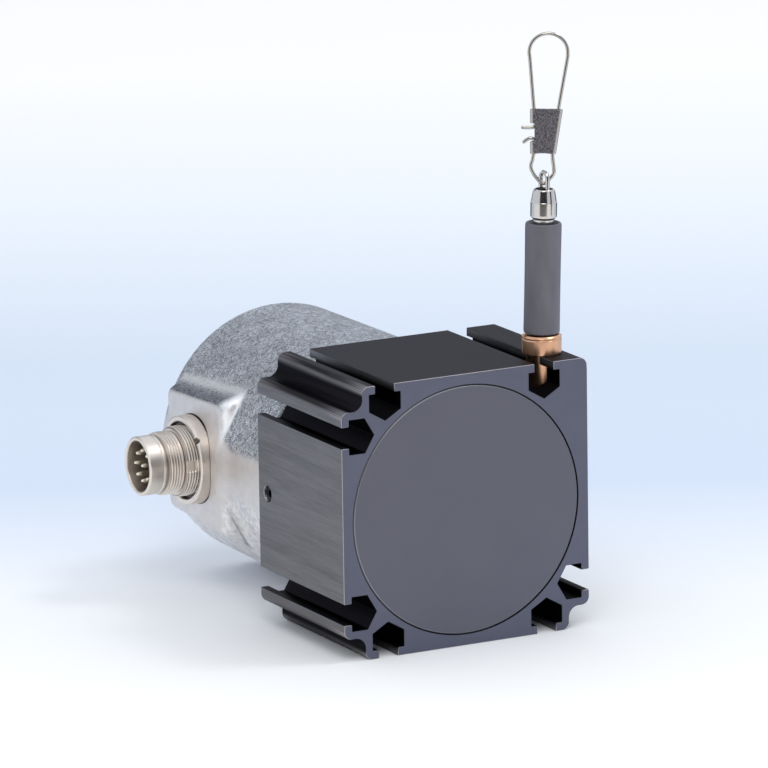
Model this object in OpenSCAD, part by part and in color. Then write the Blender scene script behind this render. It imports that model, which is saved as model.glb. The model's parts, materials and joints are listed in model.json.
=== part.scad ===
// Draw wire encoder with an extruded T-slot housing and a flange-mounted rotary encoder.
// Origin: centre of the housing's underside. +Y runs from the front cap to the encoder,
// +Z is the way the wire is drawn out, and the connector points along -X.
// Places along the drum axis are counted from the housing's front face.

/* [Profile housing] */
// Width and height of the square profile
body_w = 68; // [66:0.5:80]
// Length of the profile along the drum axis
body_d = 44.3; // [42:0.1:60]
// Wall left between the raw bore and the profile's sides
bore_wall = 3.6; // [3.4:0.1:5]
// Step from the raw bore out to the machined seats at both ends
seat_step = 0.77; // [0.5:0.01:1]
// Distance of each T-slot's centre from the profile's corner
slot_edge = 12; // [11:0.1:13.5]
// Width of a T-slot's mouth
slot_mouth = 5.2; // [4.6:0.1:6]
// Width of a T-slot's pocket, the flats of an M5 bolt head
slot_pocket = 8.5; // [7.5:0.1:9]
// Thickness of the lips beside the mouth
slot_lip = 2.13; // [1.6:0.01:2.6]
// Depth of the pocket's straight walls
slot_wall = 6.34; // [5.5:0.01:6.6]
// Depth of the point of the pocket's floor
slot_depth = 8.84; // [7.8:0.01:9]
// Size of the open notch at three corners
notch = 5.7; // [4.5:0.1:6.2]
// Radius at the foot of a notch
notch_fillet = 2.7; // [1:0.1:3]
// Radius of the rounded lip ends
lip_round = 2; // [0.5:0.1:2.2]
// Radius of the solid corner over the wire outlet
corner_r = 2; // [0.5:0.1:3]

/* [Wire and drum] */
// Space between the bore and the middle of the wound wire; it sets 170 mm of wire a turn
drum_gap = 3.3437; // [3.2:0.0001:4]
// Radius of the stainless steel wire
wire_r = 0.28; // [0.2:0.01:0.32]
// Distance of the wire from the front face
wire_y = 10.2; // [10:0.1:11.5]
// Number of turns on a full drum
wire_turns = 10; // [6:1:10]
// Spacing of the turns
turn_pitch = 0.76; // [0.7:0.01:0.8]
// Thickness of the drum's rim under the wire
rim_t = 3.4; // [2.5:0.1:5]
// Thickness of each drum flange
drum_flange_t = 1.1; // [0.8:0.1:1.4]
// Thickness of the drum's web
web_t = 2.4; // [1.8:0.1:3.2]
// Radius of the drum's hub
hub_r = 9; // [7.5:0.1:10]
// Length of the drum's hub behind the middle of the web
hub_len = 5; // [3:0.1:5.4]
// Radius of the holes that lighten the web
web_hole_r = 4; // [2:0.1:4.8]

/* [Bearings and shafts] */
// Radius of the drum shaft in its bearings
shaft_r = 4; // [3.5:0.1:4.5]
// Outer radius of a drum bearing
bearing_r = 8; // [7.4:0.1:8.6]
// Width of a drum bearing
bearing_w = 5; // [4:0.1:5.4]
// Radius of the shaft's tail inside the encoder
tail_r = 3; // [2.5:0.1:3.2]
// Radius of the encoder's hollow shaft
hollow_r = 5; // [4.6:0.1:5.2]
// Outer radius of an encoder bearing
enc_bearing_r = 9.5; // [9:0.1:10]
// Width of an encoder bearing
enc_bearing_w = 5; // [4:0.1:5]
// Number of balls in a bearing
ball_count = 8; // [6:1:9]

/* [Covers and plates] */
// Thickness of the front cap
cap_t = 4.2; // [3.8:0.1:4.6]
// Chamfer that leaves the fine groove round the cap
cap_chamfer = 0.4; // [0.2:0.05:0.6]
// Thickness of the bearing plate
plate_t = 4; // [3.5:0.1:6]
// Wall of the spring case
case_t = 1.2; // [0.8:0.1:2]
// Thickness of the spring strip
strip_t = 0.3; // [0.2:0.01:0.4]
// Number of turns of the spring
strip_turns = 11; // [6:1:11]

/* [Encoder] */
// Length of the encoder's flange inside the profile
spigot_len = 7.4; // [6.6:0.1:8]
// Length of the encoder housing behind the profile
enc_len = 57.2; // [54:0.1:70]
// How far the encoder housing stands back from the profile's sides
enc_inset = 0.9; // [0.5:0.05:1.4]
// Taper of the encoder housing over its length
enc_draft = 0.6; // [0:0.05:0.8]
// Radius of the encoder housing's rear edge
enc_edge = 2; // [1:0.1:4]
// Wall of the encoder housing
enc_wall = 3.1; // [2.5:0.1:3.4]
// Space round the code disc
disc_gap = 1.6; // [1.2:0.1:4]
// Thickness of the code disc
disc_t = 0.9; // [0.6:0.1:1.2]
// Thickness of the circuit boards
board_t = 1.6; // [1:0.1:2]
// Space round the circuit boards
board_gap = 3; // [2:0.1:4]

/* [Connector boss] */
// Distance of the connector's axis behind the profile
boss_y = 37.6; // [36:0.1:42]
// Depth of the boss's face inside the encoder housing's largest radius
boss_sink = 0.4; // [-0.5:0.05:0.5]
// Length of the boss along the encoder
boss_l = 31.4; // [28:0.1:33]
// Height of the boss at its face
boss_h = 32; // [26:0.1:33]
// Radius of the boss's edges
boss_round = 2.4; // [1:0.1:3]
// Spread of the boss's walls down to the cylinder, on each side
boss_draft = 2.6; // [1:0.1:3.5]

/* [Connector] */
// Radius of the connector's fastening ring
ring_r = 11.25; // [10:0.05:12]
// Thickness of the fastening ring
ring_t = 3.8; // [2.5:0.1:4.5]
// Width of the fastening ring's face round its recess
ring_face = 1.4; // [1:0.1:1.8]
// Radius of the rear thread
rear_thread_r = 8.9; // [8.6:0.05:9.2]
// Length of the rear thread
rear_thread_l = 2.7; // [2:0.1:5]
// Radius of the coupling thread, M16
thread_r = 8; // [7.6:0.05:8.2]
// Length of the coupling thread
thread_l = 4.5; // [3:0.1:6]
// Radius of the smooth nose
nose_r = 7.45; // [6.8:0.05:7.5]
// Length of the smooth nose
nose_l = 5.1; // [3:0.1:7]
// Radius of the socket inside the nose
socket_r = 6.4; // [5.8:0.05:6.5]
// Number of contact pins round the middle one
pin_count = 7; // [5:1:7]
// Angle that the outer pins span
pin_span = 262; // [240:1:280]
// Radius of a contact pin
pin_r = 0.5; // [0.3:0.05:0.6]
// Radius of the circle of pins
pin_circle_r = 3.9; // [3.2:0.1:4.4]

/* [Wire outlet] */
// Radius of the nozzle's collar
collar_r = 4.9; // [4.4:0.05:5.4]
// Height of the nozzle's collar
collar_h = 4.8; // [3.5:0.1:6]
// Radius of the nozzle's shank
shank_r = 3.9; // [3.4:0.05:4.1]
// Length of the nozzle's shank
shank_l = 9; // [8.6:0.1:10]
// Radius of the wire's passage below the nozzle
passage_r = 2.4; // [1.6:0.1:2.8]
// Radius of the clamping screw
clamp_r = 2; // [1.5:0.05:2.2]

/* [Wire end] */
// Lean of the slack wire end from upright
end_lean = 1.8; // [0:0.1:2]
// Radius of the rubber sleeve
sleeve_r = 4.45; // [4:0.05:5]
// Length of the rubber sleeve
sleeve_l = 27.5; // [20:0.5:36]
// Radius of the crimped ferrule
ferrule_r = 1.5; // [1.2:0.05:1.7]
// Radius of the swivel barrel
barrel_r = 3.25; // [3.1:0.05:3.8]
// Length of the barrel's straight part
barrel_l = 4.1; // [4:0.1:6]
// Length of the barrel's cone
cone_l = 3.25; // [2.5:0.1:4.5]
// Radius of the cone's small end
cone_r = 2.55; // [2.5:0.05:2.8]
// Radius of the eye, to the middle of its wire
eye_r = 1.65; // [1.6:0.05:1.7]
// Height of the eye's top above the barrel
eye_h = 4.6; // [4.4:0.1:6]
// Radius of the eye's wire
eye_wire_r = 0.55; // [0.5:0.01:0.58]
// Radius of the snap hook's wire
hook_wire_r = 0.43; // [0.35:0.01:0.45]
// Turn of the snap hook about the wire
hook_turn = -28.5; // [-60:0.5:60]
// Turn of the eye against the snap hook
eye_turn = 28.5; // [0:0.5:30]
// Height of the small loop below the clasp
small_loop_h = 7.4; // [7:0.1:8]
// Height of the clasp
clasp_h = 11; // [10:0.1:12]
// Width of the clasp at its foot
clasp_w = 6.3; // [6:0.1:7]
// Thickness of the clasp's sheet
clasp_t = 0.35; // [0.3:0.05:0.4]
// Radius of the snap hook's large loop
loop_r = 4.7; // [4.2:0.1:6]
// Height of the large loop's centre above the clasp
loop_h = 14; // [10:0.5:20]

/* [Hidden] */
$fn = 64;

// Clearances
fit = 0.05;        // sliding and location fits, on the radius
running = 0.03;    // balls in their races
rest_gap = 0.25;   // slack wire end above the nozzle
stack_gap = 0.1;   // plates that clamp each other
turning_gap = 0.75; // turning pieces beside fixed ones, along the axis
over = 1;          // how far a cutter stands past a face

// Frame
axis_z = body_w / 2;
front_y = -body_d / 2;
half_w = body_w / 2;
bore_r = half_w - bore_wall;
seat_r = bore_r + seat_step;
slot_offset = half_w - slot_edge;
enc_r = half_w - enc_inset;
boss_x = enc_r - boss_sink;

// Drum
pitch_r = bore_r - drum_gap;
wire_x = pitch_r;
rim_r = pitch_r - wire_r / 2;
winding_w = wire_turns * turn_pitch;
drum_w = winding_w + 2 * drum_flange_t + 0.6;
drum_front = wire_y - drum_w / 2;
drum_back = wire_y + drum_w / 2;
drum_flange_r = bore_r - 0.8;
web_hole_circle = (hub_r + rim_r - rim_t) / 2;
web_hole_n = 6;

// Bearings: pitch radius and balls are set so that a cage turns at 0.4 of the shaft
function race_r(inner, outer) = (inner + outer) / 2;
function ball_r(inner, outer) = 0.2 * race_r(inner, outer);
front_bearing_y = cap_t - 2;
plate_y = body_d - spigot_len - stack_gap - plate_t;
rear_bearing_y = plate_y + plate_t - bearing_w;
boss_wall = 3;
bearing_boss_r = bearing_r + boss_wall;
cap_boss_l = front_bearing_y + bearing_w;
plate_lip_t = 1.5;
seal_r = 0.8;

// Spring
case_y = drum_back + 1.6;
case_l = plate_y - case_y - stack_gap;
case_r = bore_r - fit;
case_hole_r = hub_r + 1;
arbor_r = 7.6;
strip_in = arbor_r + 0.35;
strip_out = case_r - case_t - strip_t - 0.1;
strip_y = case_y + case_t + 1;
strip_gap = 0.4;
strip_l = rear_bearing_y - plate_lip_t - strip_y - strip_gap;

// Encoder, counted from the profile's rear face at body_d
enc_in_r = enc_r - enc_wall;
board_r = enc_in_r - board_gap;
enc_shoulder_l = 5.7;
tower_r = enc_bearing_r + 3.5;
enc_bearing_y1 = body_d - spigot_len + 2.2;
enc_bearing_y2 = enc_bearing_y1 + enc_bearing_w + 3;
tower_end = enc_bearing_y2 + enc_bearing_w + 0.7;
hub_y = tower_end + turning_gap;
disc_y = hub_y + 1.6;
sensor_y = disc_y + disc_t + 3.4;
main_y = sensor_y + board_t + 8.4;
standoff_r = 2.4;
standoff_circle = board_r - standoff_r - 0.5;
lug_r = 4;
lug_circle = enc_in_r - lug_r - 0.4;
lug_l = 14;
lug_angle = 60;
disc_r = lug_circle - lug_r - disc_gap;
lamp_room = disc_r - tower_r;
lamp_w = 0.77 * lamp_room;
stud_r = 1.2;
stud_l = 3;
screw_l = 4;
screw_head_r = 2.2;
screw_head_l = 1.5;
chip = board_r / 13.5;
groove_y = body_d - 4.6;
groove_d = 1.2;

// Connector, counted outwards from the boss's face
boss_face_x = -boss_x;
shell_back = 8;
shell_r = thread_r - 0.1;
shell_front = ring_t + rear_thread_l + thread_l + nose_l;
insert_r = socket_r - fit;
insert_front = ring_t + 1.7;
recess_l = 1.4;
pin_front = shell_front - 1.1;
plug_board_x = boss_face_x + shell_back + 0.6;
boss_hole_r = shell_r + fit;
boss_shift = -0.3;
conn_y = body_d + boss_y;

// Wire end, counted upwards from the sleeve's lower face
pivot_z = body_w + collar_h + rest_gap;
dish_d = 1.2;
dish_r = sleeve_r - 0.5;
neck_r = barrel_r - 0.7;
barrel_z = sleeve_l + 1;
barrel_top = barrel_z + barrel_l + cone_l;
ferrule_top = sleeve_l + 1.2;
eye_arc_z = barrel_top + eye_h - eye_wire_r - eye_r;
mouth_r = eye_r + eye_wire_r + fit;
head_r = barrel_r - 0.6 - fit;
chamber_z = barrel_z + 2;
chamber_l = barrel_l - 1.5;
hook_z = barrel_top + 1.25;
clasp_z = hook_z + small_loop_h;

// ---------------------------------------------------------------- placing

// Local +Z runs along the drum axis, from y on
module on_axis(y) {
    translate([0, front_y + y, axis_z]) rotate([-90, 0, 0]) children();
}

// Local +Z points out of the connector, from its boss's face on
module on_boss(out) {
    translate([boss_face_x - out, front_y + conn_y, axis_z]) rotate([0, -90, 0]) children();
}

// Local +Z is the line of the wire, from height z on
module on_wire(z) {
    translate([wire_x, front_y + wire_y, z]) children();
}

// The slack wire end leans on the nozzle; local +Z is its own axis
module on_end(z) {
    on_wire(pivot_z) rotate([0, end_lean, 0]) translate([0, 0, z]) children();
}

module ring(outer, inner, h) {
    difference() {
        cylinder(r = outer, h = h);
        translate([0, 0, -over]) cylinder(r = inner, h = h + 2 * over);
    }
}

module torus(major, minor) {
    rotate_extrude() translate([major, 0]) circle(r = minor, $fn = 32);
}

module around(count, radius, start = 0) {
    for (i = [0 : count - 1]) {
        rotate([0, 0, start + i * 360 / count]) translate([radius, 0, 0]) children();
    }
}

// ---------------------------------------------------------------- ball bearings

module bearing_outer(inner, outer, w) {
    pr = race_r(inner, outer);
    br = ball_r(inner, outer);
    difference() {
        ring(outer, pr + 0.6 * br, w);
        translate([0, 0, w / 2]) torus(pr, br + running);
    }
}

module bearing_inner(inner, outer, w) {
    pr = race_r(inner, outer);
    br = ball_r(inner, outer);
    difference() {
        ring(pr - 0.6 * br, inner + running, w);
        translate([0, 0, w / 2]) torus(pr, br + running);
    }
}

// Balls in a crown cage: the pockets open to one side and the crown holds them together
module bearing_cage(inner, outer, w) {
    pr = race_r(inner, outer);
    br = ball_r(inner, outer);
    translate([0, 0, w / 2]) {
        around(ball_count, pr) sphere(r = br, $fn = 32);
        difference() {
            translate([0, 0, -0.4 * br]) ring(pr + 0.4 * br, pr - 0.4 * br, 1.9 * br);
            around(ball_count, pr) sphere(r = br + running, $fn = 32);
        }
    }
}

// ---------------------------------------------------------------- profile housing

// One T-slot, its mouth at the top and its pocket's floor pointed
module t_slot_2d() {
    p = slot_pocket / 2;
    translate([-slot_mouth / 2, -slot_lip - over]) square([slot_mouth, slot_lip + 2 * over]);
    polygon([[-p, -slot_lip], [p, -slot_lip], [p, -slot_wall], [0, -slot_depth], [-p, -slot_wall]]);
}

// The open notch between the lips of two slots, at the corner in +X and +Y
module notch_2d() {
    n = half_w - notch;
    lip = half_w - lip_round;
    difference() {
        union() {
            translate([n + notch_fillet, n]) square(notch + over);
            translate([n, n + notch_fillet]) square(notch + over);
            translate([n + notch_fillet, n + notch_fillet]) circle(r = notch_fillet);
            translate([n - lip_round, lip]) square(lip_round + over);
            translate([lip, n - lip_round]) square(lip_round + over);
        }
        translate([n - lip_round, lip]) circle(r = lip_round);
        translate([lip, n - lip_round]) circle(r = lip_round);
    }
}

module solid_corner_2d() {
    c = half_w - corner_r;
    difference() {
        translate([c, c]) square(corner_r + over);
        translate([c, c]) circle(r = corner_r);
    }
}

module profile_2d() {
    difference() {
        square(body_w, center = true);
        for (side = [0, 90, 180]) {
            for (s = [-slot_offset, slot_offset]) {
                rotate(side) translate([s, half_w]) t_slot_2d();
            }
        }
        rotate(270) translate([slot_offset, half_w]) t_slot_2d();
        for (side = [90, 180, 270]) {
            rotate(side) notch_2d();
        }
        solid_corner_2d();
        circle(r = bore_r);
    }
}

module profile_housing() {
    color([0.16, 0.16, 0.18]) difference() {
        translate([0, body_d / 2, axis_z]) rotate([90, 0, 0]) linear_extrude(body_d) profile_2d();
        on_axis(-over) cylinder(r = seat_r, h = cap_t + over);
        on_axis(plate_y) cylinder(r = seat_r, h = body_d - plate_y + over);
        on_wire(body_w - shank_l) cylinder(r = shank_r + fit, h = shank_l + over);
        on_wire(axis_z + pitch_r / 4) cylinder(r = passage_r, h = half_w - shank_l);
        translate([-half_w - over, front_y + groove_y, axis_z]) rotate([0, 90, 0])
            cylinder(r = clamp_r, h = half_w - seat_r + 2 * over);
    }
}

module front_cap() {
    seat = seat_r - fit;
    color([0.2, 0.2, 0.22]) on_axis(0) difference() {
        union() {
            cylinder(r1 = seat - cap_chamfer, r2 = seat, h = cap_chamfer);
            translate([0, 0, cap_chamfer]) cylinder(r = seat, h = cap_t - cap_chamfer);
            cylinder(r = bearing_boss_r, h = cap_boss_l);
        }
        translate([0, 0, front_bearing_y]) cylinder(r = bearing_r + fit, h = bearing_w + over);
        translate([0, 0, cap_t / 2 - seal_r]) ring(seat + over, seat - 2 * seal_r, 2 * seal_r);
    }
}

module cap_seal() {
    color([0.08, 0.08, 0.08]) on_axis(cap_t / 2) torus(seat_r - fit - seal_r, seal_r - fit);
}

module bearing_plate() {
    seat = seat_r - fit;
    color([0.7, 0.7, 0.72]) on_axis(plate_y) difference() {
        union() {
            cylinder(r = seat, h = plate_t);
            translate([0, 0, plate_t - bearing_w - plate_lip_t])
                cylinder(r = bearing_boss_r, h = bearing_w);
        }
        translate([0, 0, plate_t - bearing_w]) cylinder(r = bearing_r + fit, h = bearing_w + over);
        translate([0, 0, -bearing_w]) cylinder(r = shaft_r + 1.2, h = 2 * bearing_w);
    }
}

module front_bearing_outer() {
    color("silver") on_axis(front_bearing_y) bearing_outer(shaft_r, bearing_r, bearing_w);
}

module rear_bearing_outer() {
    color("silver") on_axis(rear_bearing_y) bearing_outer(shaft_r, bearing_r, bearing_w);
}

module clamp_screw() {
    sunk = 0.7;
    shaft = half_w - seat_r - sunk - 0.1;
    tip = groove_d - 0.1 + 0.15;
    color([0.1, 0.1, 0.1]) translate([-half_w + sunk, front_y + groove_y, axis_z]) rotate([0, 90, 0])
        difference() {
            union() {
                cylinder(r = clamp_r - fit, h = shaft);
                translate([0, 0, shaft]) cylinder(r1 = clamp_r - fit, r2 = 0.75, h = tip);
            }
            translate([0, 0, -over]) cylinder(r = 1.1, h = over + 1.2, $fn = 6);
        }
}

// ---------------------------------------------------------------- wire outlet

module wire_nozzle() {
    edge = 0.4;
    seat = 2.4;
    bell = shank_l - 5;
    color([0.72, 0.45, 0.3]) on_wire(body_w) difference() {
        union() {
            translate([0, 0, -shank_l]) cylinder(r = shank_r, h = shank_l + over);
            cylinder(r = collar_r, h = collar_h - edge);
            translate([0, 0, collar_h - edge]) cylinder(r1 = collar_r, r2 = collar_r - edge, h = edge);
        }
        translate([0, 0, -shank_l - over]) cylinder(r = 1.2, h = shank_l + collar_h + 2 * over);
        translate([0, 0, -shank_l - over]) cylinder(r = seat, h = shank_l - bell + over);
        translate([0, 0, collar_h - 3.6]) cylinder(r = seat, h = 3.6 + over);
    }
}

// Hard guide ring with a rounded mouth below, where the wire comes up from the drum
module nozzle_guide() {
    seat = 2.4 - fit;
    mouth = 1.4;
    h = 4.6;
    color([0.93, 0.92, 0.88]) on_wire(body_w - shank_l + 0.3) rotate_extrude() difference() {
        translate([wire_r + 0.3, 0]) square([seat - wire_r - 0.3, h]);
        difference() {
            square([wire_r + 0.3 + mouth, mouth]);
            translate([wire_r + 0.3 + mouth, mouth]) circle(r = mouth, $fn = 48);
        }
    }
}

module wire_wiper() {
    color([0.35, 0.3, 0.25]) on_wire(body_w + collar_h - 3.5) ring(2.4 - fit, wire_r + 0.15, 3);
}

module draw_wire() {
    start = 6;
    color("silver") on_wire(axis_z + start) cylinder(r = wire_r, h = pivot_z - axis_z - start, $fn = 24);
}

// ---------------------------------------------------------------- drum

module cable_drum() {
    inner = rim_r - rim_t;
    color([0.82, 0.82, 0.8]) on_axis(drum_front) difference() {
        union() {
            ring(rim_r, inner, drum_w);
            ring(drum_flange_r, inner, drum_flange_t);
            translate([0, 0, drum_w - drum_flange_t]) ring(drum_flange_r, inner, drum_flange_t);
            translate([0, 0, (drum_w - web_t) / 2]) cylinder(r = inner + over, h = web_t);
            translate([0, 0, (drum_w - web_t) / 2]) cylinder(r = hub_r, h = hub_len + web_t / 2);
        }
        translate([0, 0, -over]) cylinder(r = shaft_r + fit, h = drum_w + hub_len);
        for (i = [0 : wire_turns - 1]) {
            translate([0, 0, drum_w / 2 + (i - (wire_turns - 1) / 2) * turn_pitch])
                torus(pitch_r, wire_r + running);
        }
        translate([0, 0, -over]) around(web_hole_n, web_hole_circle)
            cylinder(r = web_hole_r, h = drum_w + 2 * over);
        drum_screw_line(shaft_r) cylinder(r = 1.5, h = hub_r);
    }
}

// Local +Z is the line of the drum's set screw, outwards from radius r
module drum_screw_line(r) {
    translate([0, 0, (drum_w + web_t) / 2 + 2]) rotate([0, 90, 0]) translate([0, 0, r]) children();
}

module drum_screw() {
    color([0.15, 0.15, 0.15]) on_axis(drum_front) drum_screw_line(shaft_r + fit) difference() {
        cylinder(r = 1.5 - fit, h = 4);
        translate([0, 0, 2.6]) cylinder(r = 0.8, h = 2, $fn = 6);
    }
}

// The wound wire, one ring for each turn
module wire_winding() {
    color("silver") on_axis(wire_y) for (i = [0 : wire_turns - 1]) {
        translate([0, 0, (i - (wire_turns - 1) / 2) * turn_pitch]) torus(pitch_r, wire_r);
    }
}

module drum_shaft() {
    tail_y = body_d - spigot_len + stack_gap;
    color([0.75, 0.75, 0.77]) difference() {
        union() {
            on_axis(front_bearing_y + 0.4) cylinder(r = shaft_r, h = tail_y - front_bearing_y - 0.4);
            on_axis(tail_y - over) cylinder(r = tail_r, h = disc_y + 3 - tail_y);
        }
        circlip_places() ring(shaft_r + over, shaft_r - 0.4, 0.8);
        on_axis(disc_y + 0.6) rotate([90, 0, 0]) cylinder(r = 0.8, h = 4 * tail_r, center = true);
    }
}

// Behind the front bearing and in front of the rear one
module circlip_places() {
    on_axis(front_bearing_y + bearing_w + 0.05) children();
    on_axis(rear_bearing_y - 0.85) children();
}

module shaft_circlips() {
    color([0.2, 0.2, 0.2]) circlip_places() difference() {
        translate([0, 0, fit]) ring(shaft_r + 0.9, shaft_r - 0.35, 0.7);
        translate([0, 2 * shaft_r, 0]) cube([1.6, 4 * shaft_r, 3], center = true);
    }
}

module spring_arbor() {
    color([0.6, 0.6, 0.62]) on_axis(strip_y - 0.2) difference() {
        cylinder(r = arbor_r, h = strip_l - 0.3);
        translate([0, 0, -over]) cylinder(r = shaft_r + fit, h = strip_l + 2 * over);
        translate([arbor_r - 0.9, 0, -over]) cube([0.5, 4, strip_l + 2 * over]);
    }
}

module spring_case() {
    color([0.62, 0.62, 0.64]) on_axis(case_y) {
        ring(case_r, case_r - case_t, case_l);
        ring(case_r - case_t / 2, case_hole_r, case_t);
    }
}

// A clock spring: one strip wound between the arbor and the case
module power_spring() {
    steps = 20 * strip_turns;
    growth = (strip_out - strip_in) / steps;
    inside = [for (i = [0 : steps]) let (r = strip_in + i * growth, a = 18 * i)
        [r * cos(a), r * sin(a)]];
    outside = [for (i = [steps : -1 : 0]) let (r = strip_in + strip_t + i * growth, a = 18 * i)
        [r * cos(a), r * sin(a)]];
    color([0.35, 0.4, 0.5]) on_axis(strip_y) linear_extrude(strip_l) polygon(concat(inside, outside));
}

module front_bearing_inner() {
    color("silver") on_axis(front_bearing_y) bearing_inner(shaft_r, bearing_r, bearing_w);
}

module rear_bearing_inner() {
    color("silver") on_axis(rear_bearing_y) bearing_inner(shaft_r, bearing_r, bearing_w);
}

module front_bearing_cage() {
    color("gold") on_axis(front_bearing_y) bearing_cage(shaft_r, bearing_r, bearing_w);
}

module rear_bearing_cage() {
    color("gold") on_axis(rear_bearing_y) bearing_cage(shaft_r, bearing_r, bearing_w);
}

// ---------------------------------------------------------------- encoder, turning pieces

module encoder_shaft() {
    start = enc_bearing_y1 - 1.2;
    color([0.78, 0.78, 0.8]) difference() {
        union() {
            on_axis(start) cylinder(r = hollow_r, h = disc_y + 2.4 - start);
            on_axis(enc_bearing_y1 + enc_bearing_w) cylinder(r = hollow_r + 1.1, h = 3);
        }
        on_axis(start - over) cylinder(r = tail_r + fit, h = disc_y + 6 - start);
        on_axis(disc_y + 0.6) rotate([90, 0, 0]) cylinder(r = 0.8, h = 3 * hollow_r, center = true);
    }
}

module shaft_pin() {
    color("gray") on_axis(disc_y + 0.6) rotate([90, 0, 0])
        cylinder(r = 0.8 - running, h = 2 * hollow_r, center = true);
}

module encoder_bearing_inners() {
    color("silver") for (y = [enc_bearing_y1, enc_bearing_y2]) {
        on_axis(y) bearing_inner(hollow_r, enc_bearing_r, enc_bearing_w);
    }
}

module encoder_bearing_cages() {
    color("gold") for (y = [enc_bearing_y1, enc_bearing_y2]) {
        on_axis(y) bearing_cage(hollow_r, enc_bearing_r, enc_bearing_w);
    }
}

module disc_hub() {
    flange = 1.6;
    color([0.7, 0.7, 0.72]) difference() {
        on_axis(hub_y) {
            ring(hollow_r + 4, hollow_r + fit, flange);
            ring(hollow_r + 1.6, hollow_r + fit, flange + disc_t + 0.8);
        }
        on_axis(disc_y + 0.6) rotate([90, 0, 0]) cylinder(r = 0.9, h = 4 * hollow_r, center = true);
    }
}

module code_disc() {
    color([0.3, 0.32, 0.38]) on_axis(disc_y) ring(disc_r, hollow_r + 1.6 + fit, disc_t);
}

// ---------------------------------------------------------------- encoder, fixed pieces

module encoder_flange() {
    seat = seat_r - fit;
    step = enc_in_r - fit;
    color([0.72, 0.72, 0.73]) difference() {
        union() {
            on_axis(body_d - spigot_len) cylinder(r = seat, h = spigot_len);
            on_axis(body_d) cylinder(r = step, h = enc_shoulder_l);
            on_axis(body_d) cylinder(r = tower_r, h = tower_end - body_d);
        }
        on_axis(enc_bearing_y1) cylinder(r = enc_bearing_r + fit, h = tower_end);
        on_axis(body_d - 2 * spigot_len) cylinder(r = hollow_r + 1.5, h = tower_end);
        on_axis(body_d + enc_shoulder_l / 2 - seal_r)
            ring(step + over, step - 2 * seal_r, 2 * seal_r);
        on_axis(groove_y) rotate_extrude() polygon([
            [seat + over, -clamp_r - 0.3], [seat, -clamp_r - 0.3], [seat - groove_d, -0.9],
            [seat - groove_d, 0.9], [seat, clamp_r + 0.3], [seat + over, clamp_r + 0.3]]);
        on_axis(body_d - spigot_len - over) around(3, lug_circle, lug_angle) {
            cylinder(r = stud_r + 0.4, h = spigot_len + enc_shoulder_l + 2 * over);
            cylinder(r = 3.1, h = over + 3.4);
        }
    }
}

// Three screws draw the encoder housing's lugs on to the flange
module flange_screws() {
    color([0.3, 0.3, 0.32]) on_axis(body_d - spigot_len + 1) around(3, lug_circle, lug_angle) difference() {
        union() {
            cylinder(r = 2.7, h = 2.3);
            cylinder(r = stud_r, h = spigot_len + enc_shoulder_l + 4);
        }
        translate([0, 0, -over]) cylinder(r = 1.2, h = over + 1.3, $fn = 6);
    }
}

module housing_seal() {
    color([0.08, 0.08, 0.08]) on_axis(body_d + enc_shoulder_l / 2)
        torus(enc_in_r - fit - seal_r, seal_r - fit);
}

// Outline of the encoder housing's outside, for turning about the drum axis
module enc_outline_2d() {
    back_r = enc_r - enc_draft;
    polygon([[0, 0], [enc_r, 0], [back_r, enc_len - enc_edge], [0, enc_len - enc_edge]]);
    translate([0, enc_len - 2 * enc_edge]) square([back_r - enc_edge, 2 * enc_edge]);
    translate([back_r - enc_edge, enc_len - enc_edge]) circle(r = enc_edge);
}

// The flat boss for the connector: rounded walls that spread towards the cylinder
module boss_block() {
    deep = 8;
    slope = boss_draft / 5.5;
    taper = 1.2;
    color([0.75, 0.75, 0.76]) hull() for (end = [-1, 1], side = [-1, 1], level = [0, 1]) {
        spread = level * deep * slope;
        translate([
            boss_face_x + boss_round + level * deep,
            front_y + conn_y + boss_shift
                + end * (boss_l / 2 - boss_round + spread * (end > 0 ? 0.6 : 0.2)),
            axis_z + side * (boss_h / 2 - boss_round + spread + (end > 0 ? -taper : 0))])
            sphere(r = boss_round, $fn = 24);
    }
}

module encoder_housing() {
    lug_y = body_d + enc_shoulder_l;
    color([0.75, 0.75, 0.76]) difference() {
        union() {
            difference() {
                union() {
                    on_axis(body_d) rotate_extrude() enc_outline_2d();
                    boss_block();
                }
                on_axis(body_d - over) cylinder(r = enc_in_r, h = enc_len - enc_wall - 0.4 + over);
            }
            on_axis(lug_y) around(3, lug_circle, lug_angle) {
                cylinder(r = lug_r, h = lug_l);
                translate([0, -lug_r + 1, 0]) cube([enc_in_r - lug_circle + 1, 2 * lug_r - 2, lug_l]);
            }
        }
        on_axis(lug_y - over) around(3, lug_circle, lug_angle) cylinder(r = stud_r + running, h = 9);
        on_boss(0) translate([-boss_h / 2, boss_shift - boss_l / 2, 0]) cube([boss_h, boss_l, 3]);
        on_boss(-shell_back - 12) cylinder(r = boss_hole_r, h = shell_back + 20);
        on_boss(-20) translate([-10, -10, 0]) cube([20, 20, 17]);
    }
}

module encoder_bearing_outers() {
    color("silver") for (y = [enc_bearing_y1, enc_bearing_y2]) {
        on_axis(y) bearing_outer(hollow_r, enc_bearing_r, enc_bearing_w);
    }
}

module light_source() {
    y = body_d + enc_shoulder_l;
    color([0.15, 0.15, 0.17]) on_axis(y) translate([0, disc_r - 0.43 * lamp_room, 0]) {
        translate([-lamp_w / 2, -lamp_w / 2, 0]) cube([lamp_w, lamp_w, disc_y - y - 2.2]);
        cylinder(r = lamp_w / 3, h = disc_y - y - 1);
    }
}

module reading_head() {
    gap = 1;
    y = disc_y + disc_t + gap;
    color([0.12, 0.12, 0.14]) on_axis(y) translate([-3.5, disc_r - 6.5, 0]) cube([7, 7, sensor_y - y]);
}

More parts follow.
